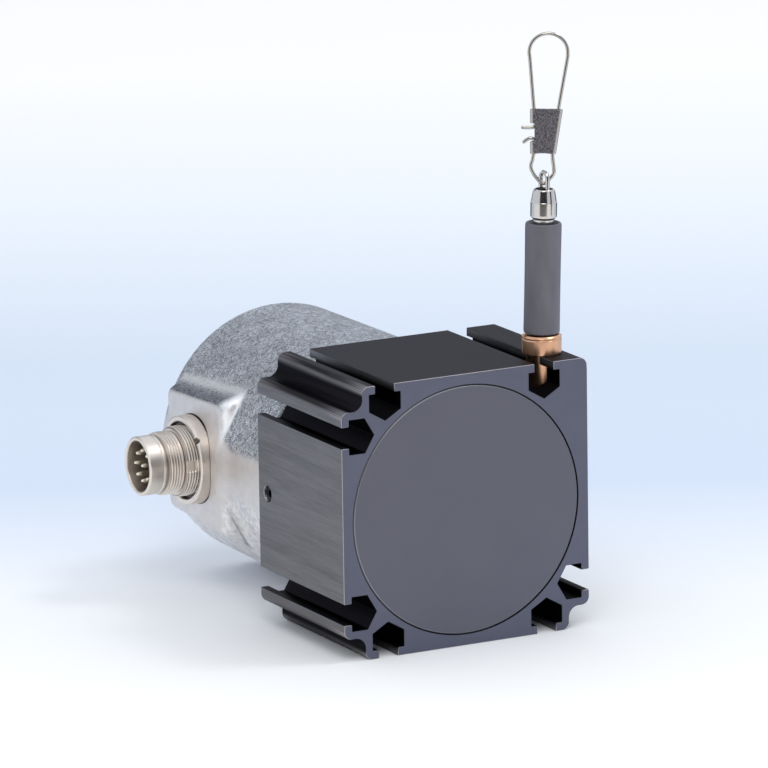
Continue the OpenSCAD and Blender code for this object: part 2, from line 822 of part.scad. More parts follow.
// A round board on the standoffs, with room for what passes its centre
module board(y, hole) {
    on_axis(y) difference() {
        cylinder(r = board_r, h = board_t);
        translate([0, 0, -over]) cylinder(r = hole, h = board_t + 2 * over);
        translate([0, 0, -over]) around(3, standoff_circle)
            cylinder(r = stud_r + fit, h = board_t + 2 * over);
    }
}

module sensor_board() {
    color([0.05, 0.35, 0.2]) difference() {
        board(sensor_y, hollow_r + 1.5);
        on_axis(sensor_y - over) around(3, lug_circle, lug_angle) {
            cylinder(r = lug_r + 0.5, h = board_t + 2 * over);
            translate([0, -lug_r - 0.5, 0]) cube([2 * lug_r, 2 * lug_r + 1, board_t + 2 * over]);
        }
    }
}

module main_board() {
    color([0.05, 0.35, 0.2]) {
        board(main_y, 1);
        on_axis(main_y + board_t) {
            translate([-3 * chip, -7 * chip, 0]) cube([5 * chip, 5 * chip, 0.6 * chip]);
            translate([chip, 3 * chip, 0]) cube([4 * chip, 2.5 * chip, 0.7 * chip]);
            translate([-6 * chip, 2 * chip, 0]) cube([3 * chip, 3 * chip, 1.1 * chip]);
            translate([4.5 * chip, -4 * chip, 0]) cylinder(r = 1.5 * chip, h = 2.5 * chip);
        }
    }
}

module lower_standoffs() {
    y = body_d + enc_shoulder_l;
    color([0.8, 0.75, 0.5]) on_axis(y) around(3, standoff_circle) {
        cylinder(r = standoff_r, h = sensor_y - y, $fn = 6);
        cylinder(r = stud_r, h = sensor_y - y + board_t + stud_l);
    }
}

module upper_standoffs() {
    y = sensor_y + board_t;
    color([0.8, 0.75, 0.5]) on_axis(y) around(3, standoff_circle) difference() {
        cylinder(r = standoff_r, h = main_y - y, $fn = 6);
        translate([0, 0, -over]) cylinder(r = stud_r + running, h = main_y - y + 2 * over);
    }
}

module board_screws() {
    top = screw_l + board_t;
    slot_w = screw_head_r / 4;
    color([0.6, 0.6, 0.62]) on_axis(main_y - screw_l) around(3, standoff_circle) difference() {
        union() {
            cylinder(r = stud_r, h = top + screw_head_l / 2);
            translate([0, 0, top]) cylinder(r = screw_head_r, h = screw_head_l);
        }
        translate([-slot_w / 2, -screw_head_r - over, top + screw_head_l / 2])
            cube([slot_w, 2 * screw_head_r + 2 * over, screw_head_l]);
    }
}

// ---------------------------------------------------------------- connector

// One pin in the middle and the others round it, with a gap where the key is
module at_pins() {
    children();
    for (i = [0 : pin_count - 1]) {
        rotate([0, 0, 90 - pin_span / 2 + i * pin_span / (pin_count - 1)])
            translate([pin_circle_r, 0, 0]) children();
    }
}

module connector_shell() {
    key_w = 2.6;
    rear_z = ring_t - recess_l + fit;
    color([0.8, 0.77, 0.7]) difference() {
        union() {
            on_boss(-shell_back) cylinder(r = shell_r, h = shell_back + ring_t + over);
            on_boss(rear_z) cylinder(r = rear_thread_r, h = rear_thread_l + recess_l - fit);
            on_boss(ring_t + rear_thread_l) cylinder(r = thread_r, h = thread_l);
            on_boss(shell_front - nose_l) cylinder(r = nose_r, h = nose_l - 0.3);
            on_boss(shell_front - 0.3) cylinder(r1 = nose_r, r2 = nose_r - 0.3, h = 0.3);
        }
        on_boss(-shell_back - over) cylinder(r = socket_r, h = shell_back + shell_front + 2 * over);
        on_boss(ring_t + 0.4) translate([-key_w / 2, -rear_thread_r - over, 0])
            cube([key_w, over + 0.8, rear_thread_l]);
    }
}

module connector_ring() {
    color([0.82, 0.8, 0.74]) on_boss(0) difference() {
        union() {
            cylinder(r = ring_r, h = ring_t - 0.3);
            translate([0, 0, ring_t - 0.3]) cylinder(r1 = ring_r, r2 = ring_r - 0.3, h = 0.3);
        }
        translate([0, 0, -over]) cylinder(r = boss_hole_r, h = ring_t + 2 * over);
        translate([0, 0, -over]) ring(boss_hole_r + 2 * seal_r, boss_hole_r - 1, over + 1.4);
        translate([0, 0, ring_t - recess_l]) cylinder(r = ring_r - ring_face, h = recess_l + over);
        rotate([0, 0, 38]) translate([0, -ring_r, ring_t]) sphere(r = 0.9, $fn = 24);
    }
}

module connector_seal() {
    color([0.08, 0.08, 0.08]) on_boss(0.72) torus(boss_hole_r + seal_r, 0.68);
}

module connector_insert() {
    color([0.16, 0.12, 0.1]) difference() {
        union() {
            on_boss(-shell_back + 0.5) cylinder(r = insert_r, h = shell_back - 0.5 + insert_front);
            on_boss(insert_front) translate([-1, -insert_r + 0.4, 0]) cube([2, 1.6, 3.5]);
        }
        on_boss(-shell_back - over) at_pins()
            cylinder(r = pin_r + running, h = shell_back + insert_front + 3);
    }
}

module contact_pins() {
    color([0.85, 0.7, 0.4]) on_boss(-shell_back - 2.6) at_pins() {
        cylinder(r = pin_r, h = shell_back + 2.6 + pin_front - pin_r, $fn = 24);
        translate([0, 0, shell_back + 2.6 + pin_front - pin_r]) sphere(r = pin_r, $fn = 24);
    }
}

module plug_board() {
    size = 15;
    color([0.05, 0.35, 0.2]) difference() {
        on_boss(-shell_back - 0.6 - board_t) translate([-size / 2, -size / 2, 0])
            cube([size, size, board_t]);
        on_boss(-shell_back - 4) at_pins() cylinder(r = pin_r + fit, h = 6);
    }
}

// Flat lead from the plug board's inner face to the main board
module ribbon_lead() {
    w = 8;
    t = 0.35;
    plug_x = plug_board_x + board_t;
    reach = 4;
    y0 = front_y + main_y + board_t;
    y1 = front_y + conn_y - 5.6;
    color([0.7, 0.72, 0.75]) {
        translate([plug_x, y1 - t, axis_z - w / 2]) cube([reach, t, w]);
        translate([plug_x + reach - t, y0, axis_z - w / 2]) cube([t, y1 - y0, w]);
    }
}

// ---------------------------------------------------------------- wire end

module rubber_sleeve() {
    edge = 0.35;
    color([0.3, 0.3, 0.34]) on_end(0) difference() {
        union() {
            cylinder(r = sleeve_r, h = sleeve_l - edge);
            translate([0, 0, sleeve_l - edge]) cylinder(r1 = sleeve_r, r2 = sleeve_r - edge, h = edge);
        }
        translate([0, 0, -over]) cylinder(r = ferrule_r + fit, h = sleeve_l + 2 * over);
        translate([0, 0, sleeve_l - dish_d]) cylinder(r1 = neck_r + fit, r2 = dish_r, h = dish_d);
        translate([0, 0, sleeve_l - fit]) cylinder(r = dish_r, h = over);
    }
}

module wire_ferrule() {
    color([0.75, 0.75, 0.75]) on_end(0.1) cylinder(r = ferrule_r, h = ferrule_top - 0.1);
}

module swivel_barrel() {
    foot = sleeve_l - dish_d + fit;
    color([0.85, 0.86, 0.88]) on_end(0) difference() {
        union() {
            translate([0, 0, foot]) cylinder(r = neck_r, h = barrel_z - foot + over);
            translate([0, 0, barrel_z]) cylinder(r = barrel_r, h = barrel_l);
            translate([0, 0, barrel_z + barrel_l]) cylinder(r1 = barrel_r, r2 = cone_r, h = cone_l);
        }
        translate([0, 0, foot - over])
            cylinder(r = ferrule_r + running, h = ferrule_top - foot + over + fit);
        translate([0, 0, chamber_z]) cylinder(r = head_r + fit, h = chamber_l);
        translate([0, 0, chamber_z]) cylinder(r = mouth_r, h = barrel_top);
    }
}

// A staple of round wire on a head that turns inside the barrel
module swivel_eye() {
    head_z = chamber_z + 0.3;
    head_l = chamber_l - 0.6;
    color([0.85, 0.86, 0.88]) on_end(0) rotate([0, 0, hook_turn + eye_turn + 90]) {
        translate([0, 0, head_z]) cylinder(r = head_r, h = head_l);
        for (side = [-1, 1]) {
            translate([side * eye_r, 0, head_z + head_l / 2])
                cylinder(r = eye_wire_r, h = eye_arc_z - head_z - head_l / 2);
        }
        translate([0, 0, eye_arc_z]) rotate([90, 0, 0])
            rotate_extrude(angle = 180) translate([eye_r, 0]) circle(r = eye_wire_r, $fn = 32);
    }
}

// The hook's own frame: +X across it, +Z up along it, from the wire end's lower face
module on_hook(z) {
    on_end(z) rotate([0, 0, hook_turn]) children();
}

function unit(v) = v / norm(v);
function heading(path, i) = let (n = len(path) - 1)
    unit(path[min(i + 1, n)] - path[max(i - 1, 0)]);
function arc(cx, cz, r, from, to, steps) = [for (i = [0 : steps])
    let (a = from + (to - from) * i / steps) [cx + r * cos(a), 0, cz + r * sin(a)]];

// A round wire along a path in the XZ plane, as one closed skin
module bent_wire(path, r, sides = 10) {
    n = len(path);
    skin = [for (i = [0 : n - 1]) let (side = cross(heading(path, i), [0, 1, 0]))
        for (k = [0 : sides - 1]) let (a = 360 * k / sides)
            path[i] + r * cos(a) * side + r * sin(a) * [0, 1, 0]];
    walls = [for (i = [0 : n - 2], k = [0 : sides - 1]) let (j = (k + 1) % sides)
        [i * sides + k, i * sides + j, (i + 1) * sides + j, (i + 1) * sides + k]];
    caps = [[for (k = [sides - 1 : -1 : 0]) k], [for (k = [0 : sides - 1]) (n - 1) * sides + k]];
    polyhedron(points = skin, faces = concat(walls, caps), convexity = 6);
}

// One wire: a free end beside the clasp, down to the small loop through the eye, up through the
// clasp to the large loop, and back to the clasp, where its other end is caught. Its places are
// shares of the clasp's half width across and of the loop's or the clasp's height along
module snap_wire() {
    w = clasp_w / 2;
    foot = small_loop_h;
    head = foot + clasp_h;
    bend_r = 0.19 * w;
    top = head + loop_h;
    small_down = [[-0.937, 0.784], [-1.048, 0.622], [-1.016, 0.473], [-0.794, 0.297],
        [-0.508, 0.142], [-0.286, 0.047]];
    small_up = [[0.19, 0.047], [0.381, 0.128], [0.619, 0.257], [0.746, 0.378], [0.73, 0.527]];
    low_end = [[-1.683, 0.245], [-1.397, 0.309], [-1.143, 0.345], [-0.889, 0.327],
        [-0.778, 0.255], [-0.825, 0.055]];
    through = [[0.603, 0], [0.762, 0.364], [1, 1]];
    high_end = [[-0.889, 1], [-0.778, 0.727], [-0.81, 0.627], [-1.016, 0.586], [-1.81, 0.582]];
    path = concat(
        [for (p = low_end) [p[0] * w, 0, foot + p[1] * clasp_h]],
        [for (p = small_down) [p[0] * w, 0, p[1] * small_loop_h]],
        arc(-0.08 * w, bend_r, bend_r, 240, 300, 3),
        [for (p = small_up) [p[0] * w, 0, p[1] * small_loop_h]],
        [for (p = through) [p[0] * w, 0, foot + p[1] * clasp_h]],
        [[loop_r + 0.11 * w, 0, top - 0.4 * loop_r]],
        arc(0.16 * w, top, loop_r, -6, 186, 16),
        [[-loop_r + 0.24 * w, 0, top - 0.4 * loop_r]],
        [for (p = high_end) [p[0] * w, 0, foot + p[1] * clasp_h]]);
    color([0.8, 0.78, 0.72]) on_hook(hook_z) bent_wire(path, hook_wire_r);
}

// Outline of the clasp, drawn in by the given wall
module clasp_2d(wall, past) {
    foot = clasp_w / 2 - wall;
    head = clasp_w / 2 + 0.85 - wall;
    polygon([[-foot - 0.4, -past], [foot - 0.4, -past],
        [head + 0.25, clasp_h + past], [-head + 0.25, clasp_h + past]]);
}

// Sheet folded round both legs, open at the back, with a window for the free ends
module snap_clasp() {
    inner = hook_wire_r + 0.08;
    depth = inner + clasp_t;
    color([0.7, 0.7, 0.68]) on_hook(clasp_z) difference() {
        translate([0, depth, 0]) rotate([90, 0, 0]) linear_extrude(2 * depth) clasp_2d(0, 0);
        translate([0, inner + 2 * depth, 0]) rotate([90, 0, 0])
            linear_extrude(2 * inner + 2 * depth) clasp_2d(clasp_t, over);
        translate([-clasp_w, -depth - over, 3]) cube([clasp_w - 2.2, 4 * depth, 4.6]);
    }
}

profile_housing();
front_cap();
cap_seal();
wire_nozzle();
nozzle_guide();
wire_wiper();
front_bearing_outer();
rear_bearing_outer();
bearing_plate();
spring_case();
power_spring();
clamp_screw();
encoder_flange();
flange_screws();
housing_seal();
encoder_housing();
encoder_bearing_outers();
light_source();
reading_head();
sensor_board();
main_board();
lower_standoffs();
upper_standoffs();
board_screws();
plug_board();
ribbon_lead();
connector_shell();
connector_ring();
connector_seal();
connector_insert();
contact_pins();
cable_drum();
wire_winding();
drum_shaft();
drum_screw();
spring_arbor();
shaft_circlips();
front_bearing_inner();
rear_bearing_inner();
encoder_shaft();
shaft_pin();
encoder_bearing_inners();
disc_hub();
code_disc();
front_bearing_cage();
rear_bearing_cage();
encoder_bearing_cages();
draw_wire();
rubber_sleeve();
wire_ferrule();
swivel_barrel();
swivel_eye();
snap_wire();
snap_clasp();
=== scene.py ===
# %% [markdown]
# # Dressing a draw wire encoder
# The solids are already made and packed: a square T-slot profile with a wire drum inside, a round
# cast encoder behind it, a connector on its side and a snap hook on the wire. This script loads
# them as a fixed frame and gives them the looks of the real thing: cast and turned metal, threads,
# bent wire, rubber, and the soft light of a studio. Lengths are written in millimetres and become
# metres when a mesh is made.

# %% Load the frame
import json
import math

import bpy
import numpy as np
from mathutils import Matrix, Vector


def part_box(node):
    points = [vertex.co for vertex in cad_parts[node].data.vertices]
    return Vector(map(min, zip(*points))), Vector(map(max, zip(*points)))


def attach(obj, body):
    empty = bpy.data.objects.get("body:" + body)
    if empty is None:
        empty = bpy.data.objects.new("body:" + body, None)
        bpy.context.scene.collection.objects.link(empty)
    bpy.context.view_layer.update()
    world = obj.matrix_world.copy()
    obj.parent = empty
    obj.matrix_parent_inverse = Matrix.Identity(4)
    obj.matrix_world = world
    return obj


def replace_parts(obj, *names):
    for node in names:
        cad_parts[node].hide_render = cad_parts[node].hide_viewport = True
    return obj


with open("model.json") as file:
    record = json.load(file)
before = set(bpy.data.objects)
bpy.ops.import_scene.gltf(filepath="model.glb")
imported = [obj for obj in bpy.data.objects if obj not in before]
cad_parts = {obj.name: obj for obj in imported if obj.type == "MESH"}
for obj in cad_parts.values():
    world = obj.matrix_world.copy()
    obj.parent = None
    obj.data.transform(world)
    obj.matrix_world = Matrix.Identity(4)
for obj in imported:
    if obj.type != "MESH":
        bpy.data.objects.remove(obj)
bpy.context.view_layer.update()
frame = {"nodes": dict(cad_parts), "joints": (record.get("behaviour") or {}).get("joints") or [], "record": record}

MM = 0.001

# %% [markdown]
# ## Measures
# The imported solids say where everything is, so the pieces below ask them. Three places are used
# throughout: the drum's axis, the line of the wire, and the face that the connector stands on.

# %% Read the main measures from the solids
def span(node):
    """Lowest and highest corner of a solid, in millimetres."""
    low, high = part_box(node)
    return np.array(low) / MM, np.array(high) / MM


BODY_LOW, BODY_HIGH = span("profile_housing")
AXIS_Z = (BODY_LOW[2] + BODY_HIGH[2]) / 2
BACK_Y = BODY_HIGH[1]
CAST_HIGH = span("encoder_housing")[1]
RING_LOW, RING_HIGH = span("connector_ring")
SHELL_LOW = span("connector_shell")[0]
NOZZLE_LOW, NOZZLE_HIGH = span("wire_nozzle")
BOSS_X, RING_R = RING_HIGH[0], RING_HIGH[2] - AXIS_Z
PLUG_Y = (RING_LOW[1] + RING_HIGH[1]) / 2
WIRE_X = (NOZZLE_LOW[0] + NOZZLE_HIGH[0]) / 2
WIRE_Y = (NOZZLE_LOW[1] + NOZZLE_HIGH[1]) / 2
print("drum axis at z", round(AXIS_Z, 2), "wire at", round(WIRE_X, 2), round(WIRE_Y, 2))

# %% [markdown]
# ## Shader maths as expressions
# A node tree is a sum written sideways. The class below wraps one output socket, so that plain
# Python such as `0.5 + 0.5 * grain` adds the Math nodes by itself. Everything else in a material
# comes through one method, which takes the node's type, its settings and its inputs.

# %% A socket that can be added and multiplied
class Signal:
    """One number, vector or colour that varies over a surface."""

    def __init__(self, finish, socket):
        self.finish, self.socket = finish, socket

    def maths(self, operation, *others):
        """A Math node on this signal and then the others."""
        return self.finish.maths(operation, self, *others)

    def __add__(self, other):
        return self.maths("ADD", other)

    def __sub__(self, other):
        return self.maths("SUBTRACT", other)

    def __rsub__(self, other):
        return self.finish.maths("SUBTRACT", other, self)

    def __mul__(self, other):
        return self.maths("MULTIPLY", other)

    def __gt__(self, other):
        return self.maths("GREATER_THAN", other)

    def __abs__(self):
        return self.maths("ABSOLUTE")

    def step(self, low, high):
        """0 below low, 1 above high, and a soft S between: t*t*(3 - 2*t)."""
        return self.finish.node(
            "ShaderNodeMapRange", {"interpolation_type": "SMOOTHSTEP"},
            {"Value": self, "From Min": low, "From Max": high})

    __radd__, __rmul__ = __add__, __mul__


# %% A finish: one material built from such signals
class Finish:
    """A Principled material, with methods for the patterns that metal and plastic need."""

    def __init__(self, name, **shader):
        self.material = bpy.data.materials.new(name)
        self.material.use_nodes = True
        self.tree = self.material.node_tree
        self.shader = self.tree.nodes["Principled BSDF"]
        self.places = Signal(self, self.tree.nodes.new("ShaderNodeTexCoord").outputs["Object"])
        self.set(**shader)

    def node(self, kind, settings=None, inputs=None, output=0):
        """Adds any node: settings first, then each input as a value or a link."""
        made = self.tree.nodes.new(kind)
        for key, value in (settings or {}).items():
            if key == "stops":
                while len(made.color_ramp.elements) < len(value):
                    made.color_ramp.elements.new(0.5)
                for element, (place, colour) in zip(made.color_ramp.elements, value):
                    element.position, element.color = place, (*colour, 1)
            else:
                setattr(made, key, value)
        for key, value in (inputs or {}).items():
            self.plug(made.inputs[key], value)
        return Signal(self, made.outputs[output])

    def maths(self, operation, *terms):
        """A Math node on numbers or signals."""
        return self.node("ShaderNodeMath", {"operation": operation}, dict(enumerate(terms)))

    def plug(self, socket, value):
        """Links a signal to a socket, or writes a value into it."""
        if isinstance(value, Signal):
            self.tree.links.new(value.socket, socket)
        elif socket.type == "RGBA" and len(value) == 3:
            socket.default_value = (*value, 1)
        else:
            socket.default_value = value

    def set(self, **inputs):
        """Sets the shader's sockets by name, with _ for a space."""
        for key, value in inputs.items():
            self.plug(self.shader.inputs[key.replace("_", " ")], value)
        return self

    def stretched(self, x=1.0, y=1.0, z=1.0):
        """Object places in millimetres, each way scaled."""
        return self.node("ShaderNodeMapping", {}, {
            "Vector": self.places, "Scale": (x / MM, y / MM, z / MM)})

    def noise(self, size, detail=2.0, rough=0.5, **stretch):
        """Soft noise from 0 to 1, its lumps about size millimetres across."""
        return self.node("ShaderNodeTexNoise", {}, {
            "Vector": self.stretched(**stretch), "Scale": 1 / size,
            "Detail": detail, "Roughness": rough})

    def place(self, axis):
        """The x, y or z place in millimetres."""
        split = self.node("ShaderNodeSeparateXYZ", {}, {0: self.places}, "xyz".index(axis))
        return split * (1 / MM)

    def painted(self, name):
        """A number stored on the mesh's vertices, 0 where a mesh has none."""
        return self.node("ShaderNodeAttribute", {"attribute_name": name}, output=2)

    def facing(self, axis):
        """How far the surface faces along the axis, 0 to 1 for both ways."""
        normal = Signal(self, self.tree.nodes.new("ShaderNodeTexCoord").outputs["Normal"])
        return abs(self.node("ShaderNodeSeparateXYZ", {}, {0: normal}, "xyz".index(axis)))

    def rim(self, axis):
        """1 on the small rounds round a face that looks along the axis, where a highlight is painted:
        the facing is neither near 0 nor near 1 there."""
        facing = self.facing(axis)
        return facing.step(0.1, 0.35) * (1 - facing.step(0.9, 0.99))

    def mix(self, mask, low, high):
        """low where the mask is 0, high where it is 1; both are colours."""
        made = self.tree.nodes.new("ShaderNodeMix")
        made.data_type = "RGBA"
        self.plug(made.inputs[0], mask)
        self.plug(made.inputs[6], low)
        self.plug(made.inputs[7], high)
        return Signal(self, made.outputs[2])

    def bump(self, height, depth, strength=1.0):
        """Presses a height from 0 to 1 into the surface, depth millimetres deep."""
        normal = self.node("ShaderNodeBump", {}, {
            "Height": height, "Distance": depth * MM, "Strength": strength})
        return self.set(Normal=normal)


# %% [markdown]
# ## Black anodised profile
# An extruded bar drags fine lines along itself as it leaves the die, and anodising keeps them.
# They show where light grazes the side walls. The sawn and milled front is cut across the bar, so
# it has no lines, only a fine satin. Noise that is stretched fiftyfold along Y makes the lines, and
# the way the surface faces decides where they are strong. The side walls are painted lighter and
# the top and bottom darker, as light and shade fall on them. The outer front edges get a painted
# highlight, and the slots' inside is painted nearly black as shade.

# %% Anodised extrusion, its milled face and the cap in it
SLOT_SHADE, SLOT_LIP = 2.6, 0.6


def anodised_profile():
    """Colour by place: painted shade in the slots, the front, side walls painted lighter and the
    top and bottom painted darker as light falls, then a painted highlight on the rim.
    """
    f = Finish("black_anodised_profile", Metallic=1.0, Specular_Tint=(0.5, 0.5, 0.5, 1))
    lines = f.noise(0.24, 4.0, 0.75, y=0.02)
    broad = f.noise(2.2, 2.0, 0.5, y=0.05)
    milled = f.facing("y").step(0.7, 0.95)
    side = f.facing("x").step(0.7, 0.95)
    outer = abs(f.place("x")).maths("MAXIMUM", abs(f.place("z") - AXIS_Z))
    outside = outer.step(BODY_HIGH[0] - SLOT_SHADE, BODY_HIGH[0] - SLOT_LIP)
    # painted shade: past the lips, the slots' inside is painted nearly black (the last colour below)
    sunk = (1 - outside) * (1 - milled)
    streak = (lines * 0.7 + broad * 0.3).step(0.34, 0.66)
    # painted light: side walls get the lighter colour and top and bottom the darker one, as light falls
    wall = f.mix(streak, (0.165, 0.160, 0.165), (0.255, 0.247, 0.252))
    shaded_top_bottom = f.mix(streak, (0.058, 0.055, 0.060), (0.080, 0.076, 0.082))
    front = f.mix(f.noise(9.0), (0.119, 0.125, 0.170), (0.135, 0.140, 0.187))
    colour = f.mix(sunk, f.mix(milled, f.mix(side, shaded_top_bottom, wall), front), (0.016, 0.015, 0.018))
    # painted highlight: a pale colour on the rounded outer front edges
    f.set(Base_Color=f.mix(f.rim("y") * outside, colour, (0.42, 0.385, 0.40)))
    f.set(Roughness=0.38 + streak * 0.10 - milled * 0.04)
    drawn = (lines - 0.5) * (1 - milled) * (side * 0.7 + 0.3)
    return f.bump(drawn + f.noise(0.2) * milled * 0.25, 0.014, 0.6)


def milled_cap():
    """The flat disc in the front: a fine even grain, with a painted highlight on its rim."""
    f = Finish("slate_anodised_cap", Metallic=1.0)
    grain = f.noise(0.22, 3.0, 0.6)
    cloud = f.noise(14.0, 2.0)
    plain = f.mix(cloud, (0.142, 0.143, 0.176), (0.160, 0.160, 0.194))
    # painted highlight: a pale colour on the rounded edge of the cap
    f.set(Base_Color=f.mix(f.rim("y"), plain, (0.30, 0.30, 0.33)))
    f.set(Roughness=0.46 + grain * 0.08)
    return f.bump(grain, 0.01, 0.35)


# %% [markdown]
# ## Die-cast aluminium
# The cup's upper half is blasted with shot, which leaves a field of tiny dents: each catches the
# light for itself, so it sparkles between pale and dark grey. The lower half keeps the smooth skin
# of the die, and is painted lighter, as light from the floor below falls on it. Noise of about a
# third of a millimetre gives both the colour and the bump. The face that carries the connector is
# machined afterwards and has no grain, which its place along X tells, and painted shade runs round
# the fastening ring in the joint on it. Painted highlights on the boss's rim, front corner and
# front wall, and painted shade on its top wall and in the crease under it, are stored on the mesh,
# and read here by their names.

# %% Shot-blasted casting
def casting_finish():
    """Colour: smooth skin below, painted lighter as lit from the floor, blasted above, times a
    cloudy tone and painted shade; then satin where machined, painted shade in the joint and
    painted highlights on top."""
    f = Finish("shot_blasted_casting", Metallic=1.0)
    grain = f.noise(0.34, 2.0, 0.8)
    speck = f.noise(1.1, 2.0, 0.6)
    cloud = f.noise(7.0, 4.0, 0.6).step(0.3, 0.7)
    # two numbers stored on the mesh: where a highlight is painted and where shade is painted
    rubbed, sheltered = f.painted("rubbed"), f.painted("sheltered")
    machined = 1 - f.place("x").step(BOSS_X + 0.02, BOSS_X + 0.5)
    upper = f.place("z").step(AXIS_Z - 12, AXIS_Z + 10)
    rough_skin = upper * (1 - machined) * (1 - rubbed)
    sparkle = (grain * 0.7 + speck * 0.3).step(0.42, 0.58)
    blasted = f.mix(sparkle, (0.21, 0.218, 0.236), (0.80, 0.82, 0.86))
    # painted light: the smooth lower skin gets a lighter colour than the blasted top, as the floor lights it
    smooth = f.mix(f.noise(1.2, 3.0).step(0.3, 0.7), (0.74, 0.715, 0.695), (0.98, 0.95, 0.93))
    body = f.mix(upper, smooth, blasted)
    tone = f.mix(cloud, (0.80, 0.80, 0.81), (1.0, 1.0, 1.0))
    across, upward = f.place("y") - PLUG_Y, f.place("z") - AXIS_Z
    from_plug = (across * across + upward * upward).maths("SQRT")
    # painted shade: a dark band on the machined face in the joint round the fastening ring
    joint_shade = (1 - from_plug.step(RING_R + 0.1, RING_R + 0.35)) * machined
    # painted shade: the boss's top wall and the crease under it are darkened
    tone = f.mix(sheltered, tone, (0.42, 0.42, 0.45))
    body = f.node("ShaderNodeVectorMath", {"operation": "MULTIPLY"}, {0: body, 1: tone})
    satin = f.mix(f.noise(3.0), (0.64, 0.60, 0.575), (0.79, 0.745, 0.715))
    colour = f.mix(joint_shade, f.mix(machined, body, satin), (0.10, 0.09, 0.085))
    # painted highlight: a near white colour on the boss's rim, front corner and front wall
    f.set(Base_Color=f.mix(rubbed, colour, (0.97, 0.96, 0.95)))
    f.set(Roughness=0.38 + sparkle * 0.08 - machined * 0.03 - rubbed * 0.06)
    height = sparkle * (rough_skin * 0.85 + 0.15) + f.noise(0.3) * 0.15
    return f.bump(height, 0.20, 1.0)


# %% [markdown]
# ## Turned, drawn and plated metal
# Most small pieces are turned on a lathe and plated. One recipe serves them all: a base colour
# that varies a little, a roughness that varies more, and fine rings or lines along the way the
# tool or the die ran. A low roughness reads as plating, a higher one as bare metal.

# %% One recipe for small metal pieces
def worked_metal(name, colour, rough, size=0.25, depth=0.004, vary=0.12, hollow_shaded=False, **stretch):
    """Lines of that size and depth in millimetres; vary is how far the colour darkens."""
    f = Finish(name, Metallic=1.0)
    lines = f.noise(size, 3.0, 0.6, **stretch)
    cloud = f.noise(size * 14)
    dark = tuple(c * (1 - vary) for c in colour)
    tone = f.mix(lines * 0.5 + cloud * 0.5, dark, colour)
    # painted shade: where the mesh stores it, the colour turns dark brown in the hollows
    f.set(Base_Color=f.mix(f.painted("grime"), tone, (0.13, 0.10, 0.08)) if hollow_shaded else tone)
    f.set(Roughness=rough * 0.8 + lines * (rough * 0.4))
    return f.bump(lines, depth, 0.5)


def pressed_sheet():
    """Spring sheet: its flat faces keep a dark, mottled skin; its folds get a painted highlight."""
    f = Finish("pressed_sheet", Metallic=1.0)
    mottle = f.noise(0.34, 3.0, 0.7).step(0.38, 0.64)
    skin = f.mix(mottle, (0.10, 0.093, 0.102), (0.34, 0.32, 0.34))
    # painted highlight: the folds, where plate is 0, get a light colour; flat faces keep the skin
    f.set(Base_Color=f.mix(f.painted("plate"), (0.52, 0.48, 0.45), skin))
    f.set(Roughness=0.26 + f.painted("plate") * 0.16)
    return f.bump(mottle, 0.05, 0.5)


# %% [markdown]
# ## Rubber, plastic, board and glass
# These are not metal, so light enters them a little and their gloss has no colour. Rubber gets a
# dusty, uneven gloss; the circuit boards a solder mask over copper tracks that run square to each
# other; the code disc is glass with a ring of fine dark bars.

# %% Recipes for the rest
DISC_LINES = 180
CODE_TRACK = (14.5, 18.5)


def moulded(name, colour, rough, size=0.6, depth=0.01, vary=0.25, **stretch):
    """Grain of that size and depth in millimetres; the cloud in its colour can be stretched."""
    f = Finish(name)
    grain = f.noise(size, 4.0, 0.6)
    cloud = f.noise(size * 12, **stretch)
    dark = tuple(c * (1 - vary) for c in colour)
    f.set(Base_Color=f.mix(cloud, dark, colour), Roughness=rough * 0.85 + grain * (rough * 0.3))
    return f.bump(grain, depth, 0.6)


def circuit_board():
    """Bands across and bands upwards, each in its own patches, make the tracks."""
    f = Finish("green_circuit_board")
    across, upward = (f.node("ShaderNodeTexWave", {"bands_direction": way}, {
        "Vector": f.stretched(), "Scale": 0.35, "Distortion": 1.5}) for way in "XZ")
    area = f.noise(6.0).step(0.45, 0.55)
    track = (across * area + upward * (1 - area)).step(0.72, 0.8)
    f.set(Base_Color=f.mix(track, (0.012, 0.10, 0.045), (0.05, 0.24, 0.12)), Roughness=0.32)
    return f.bump(track, 0.03, 0.8)


def coded_glass():
    """Bars where sin(lines * angle) > 0, between the two radii of the code's track."""
    f = Finish("coded_glass", Roughness=0.06, IOR=1.5)
    across, upward = f.place("x"), f.place("z") - AXIS_Z
    radius = (across * across + upward * upward).maths("SQRT")
    bars = (across.maths("ARCTAN2", upward) * DISC_LINES).maths("SINE") > 0.0
    band = (radius > CODE_TRACK[0]) * (1 - (radius > CODE_TRACK[1]))
    dark = bars * band
    f.set(Base_Color=f.mix(dark, (0.55, 0.62, 0.66), (0.03, 0.03, 0.035)))
    f.set(Alpha=0.35 + dark * 0.6)
    return f


# %% [markdown]
# ## A material for every slot
# The record names a material slot for each solid. Each slot gets one finish here, in the metal,
# plastic or rubber that such a piece is made of.

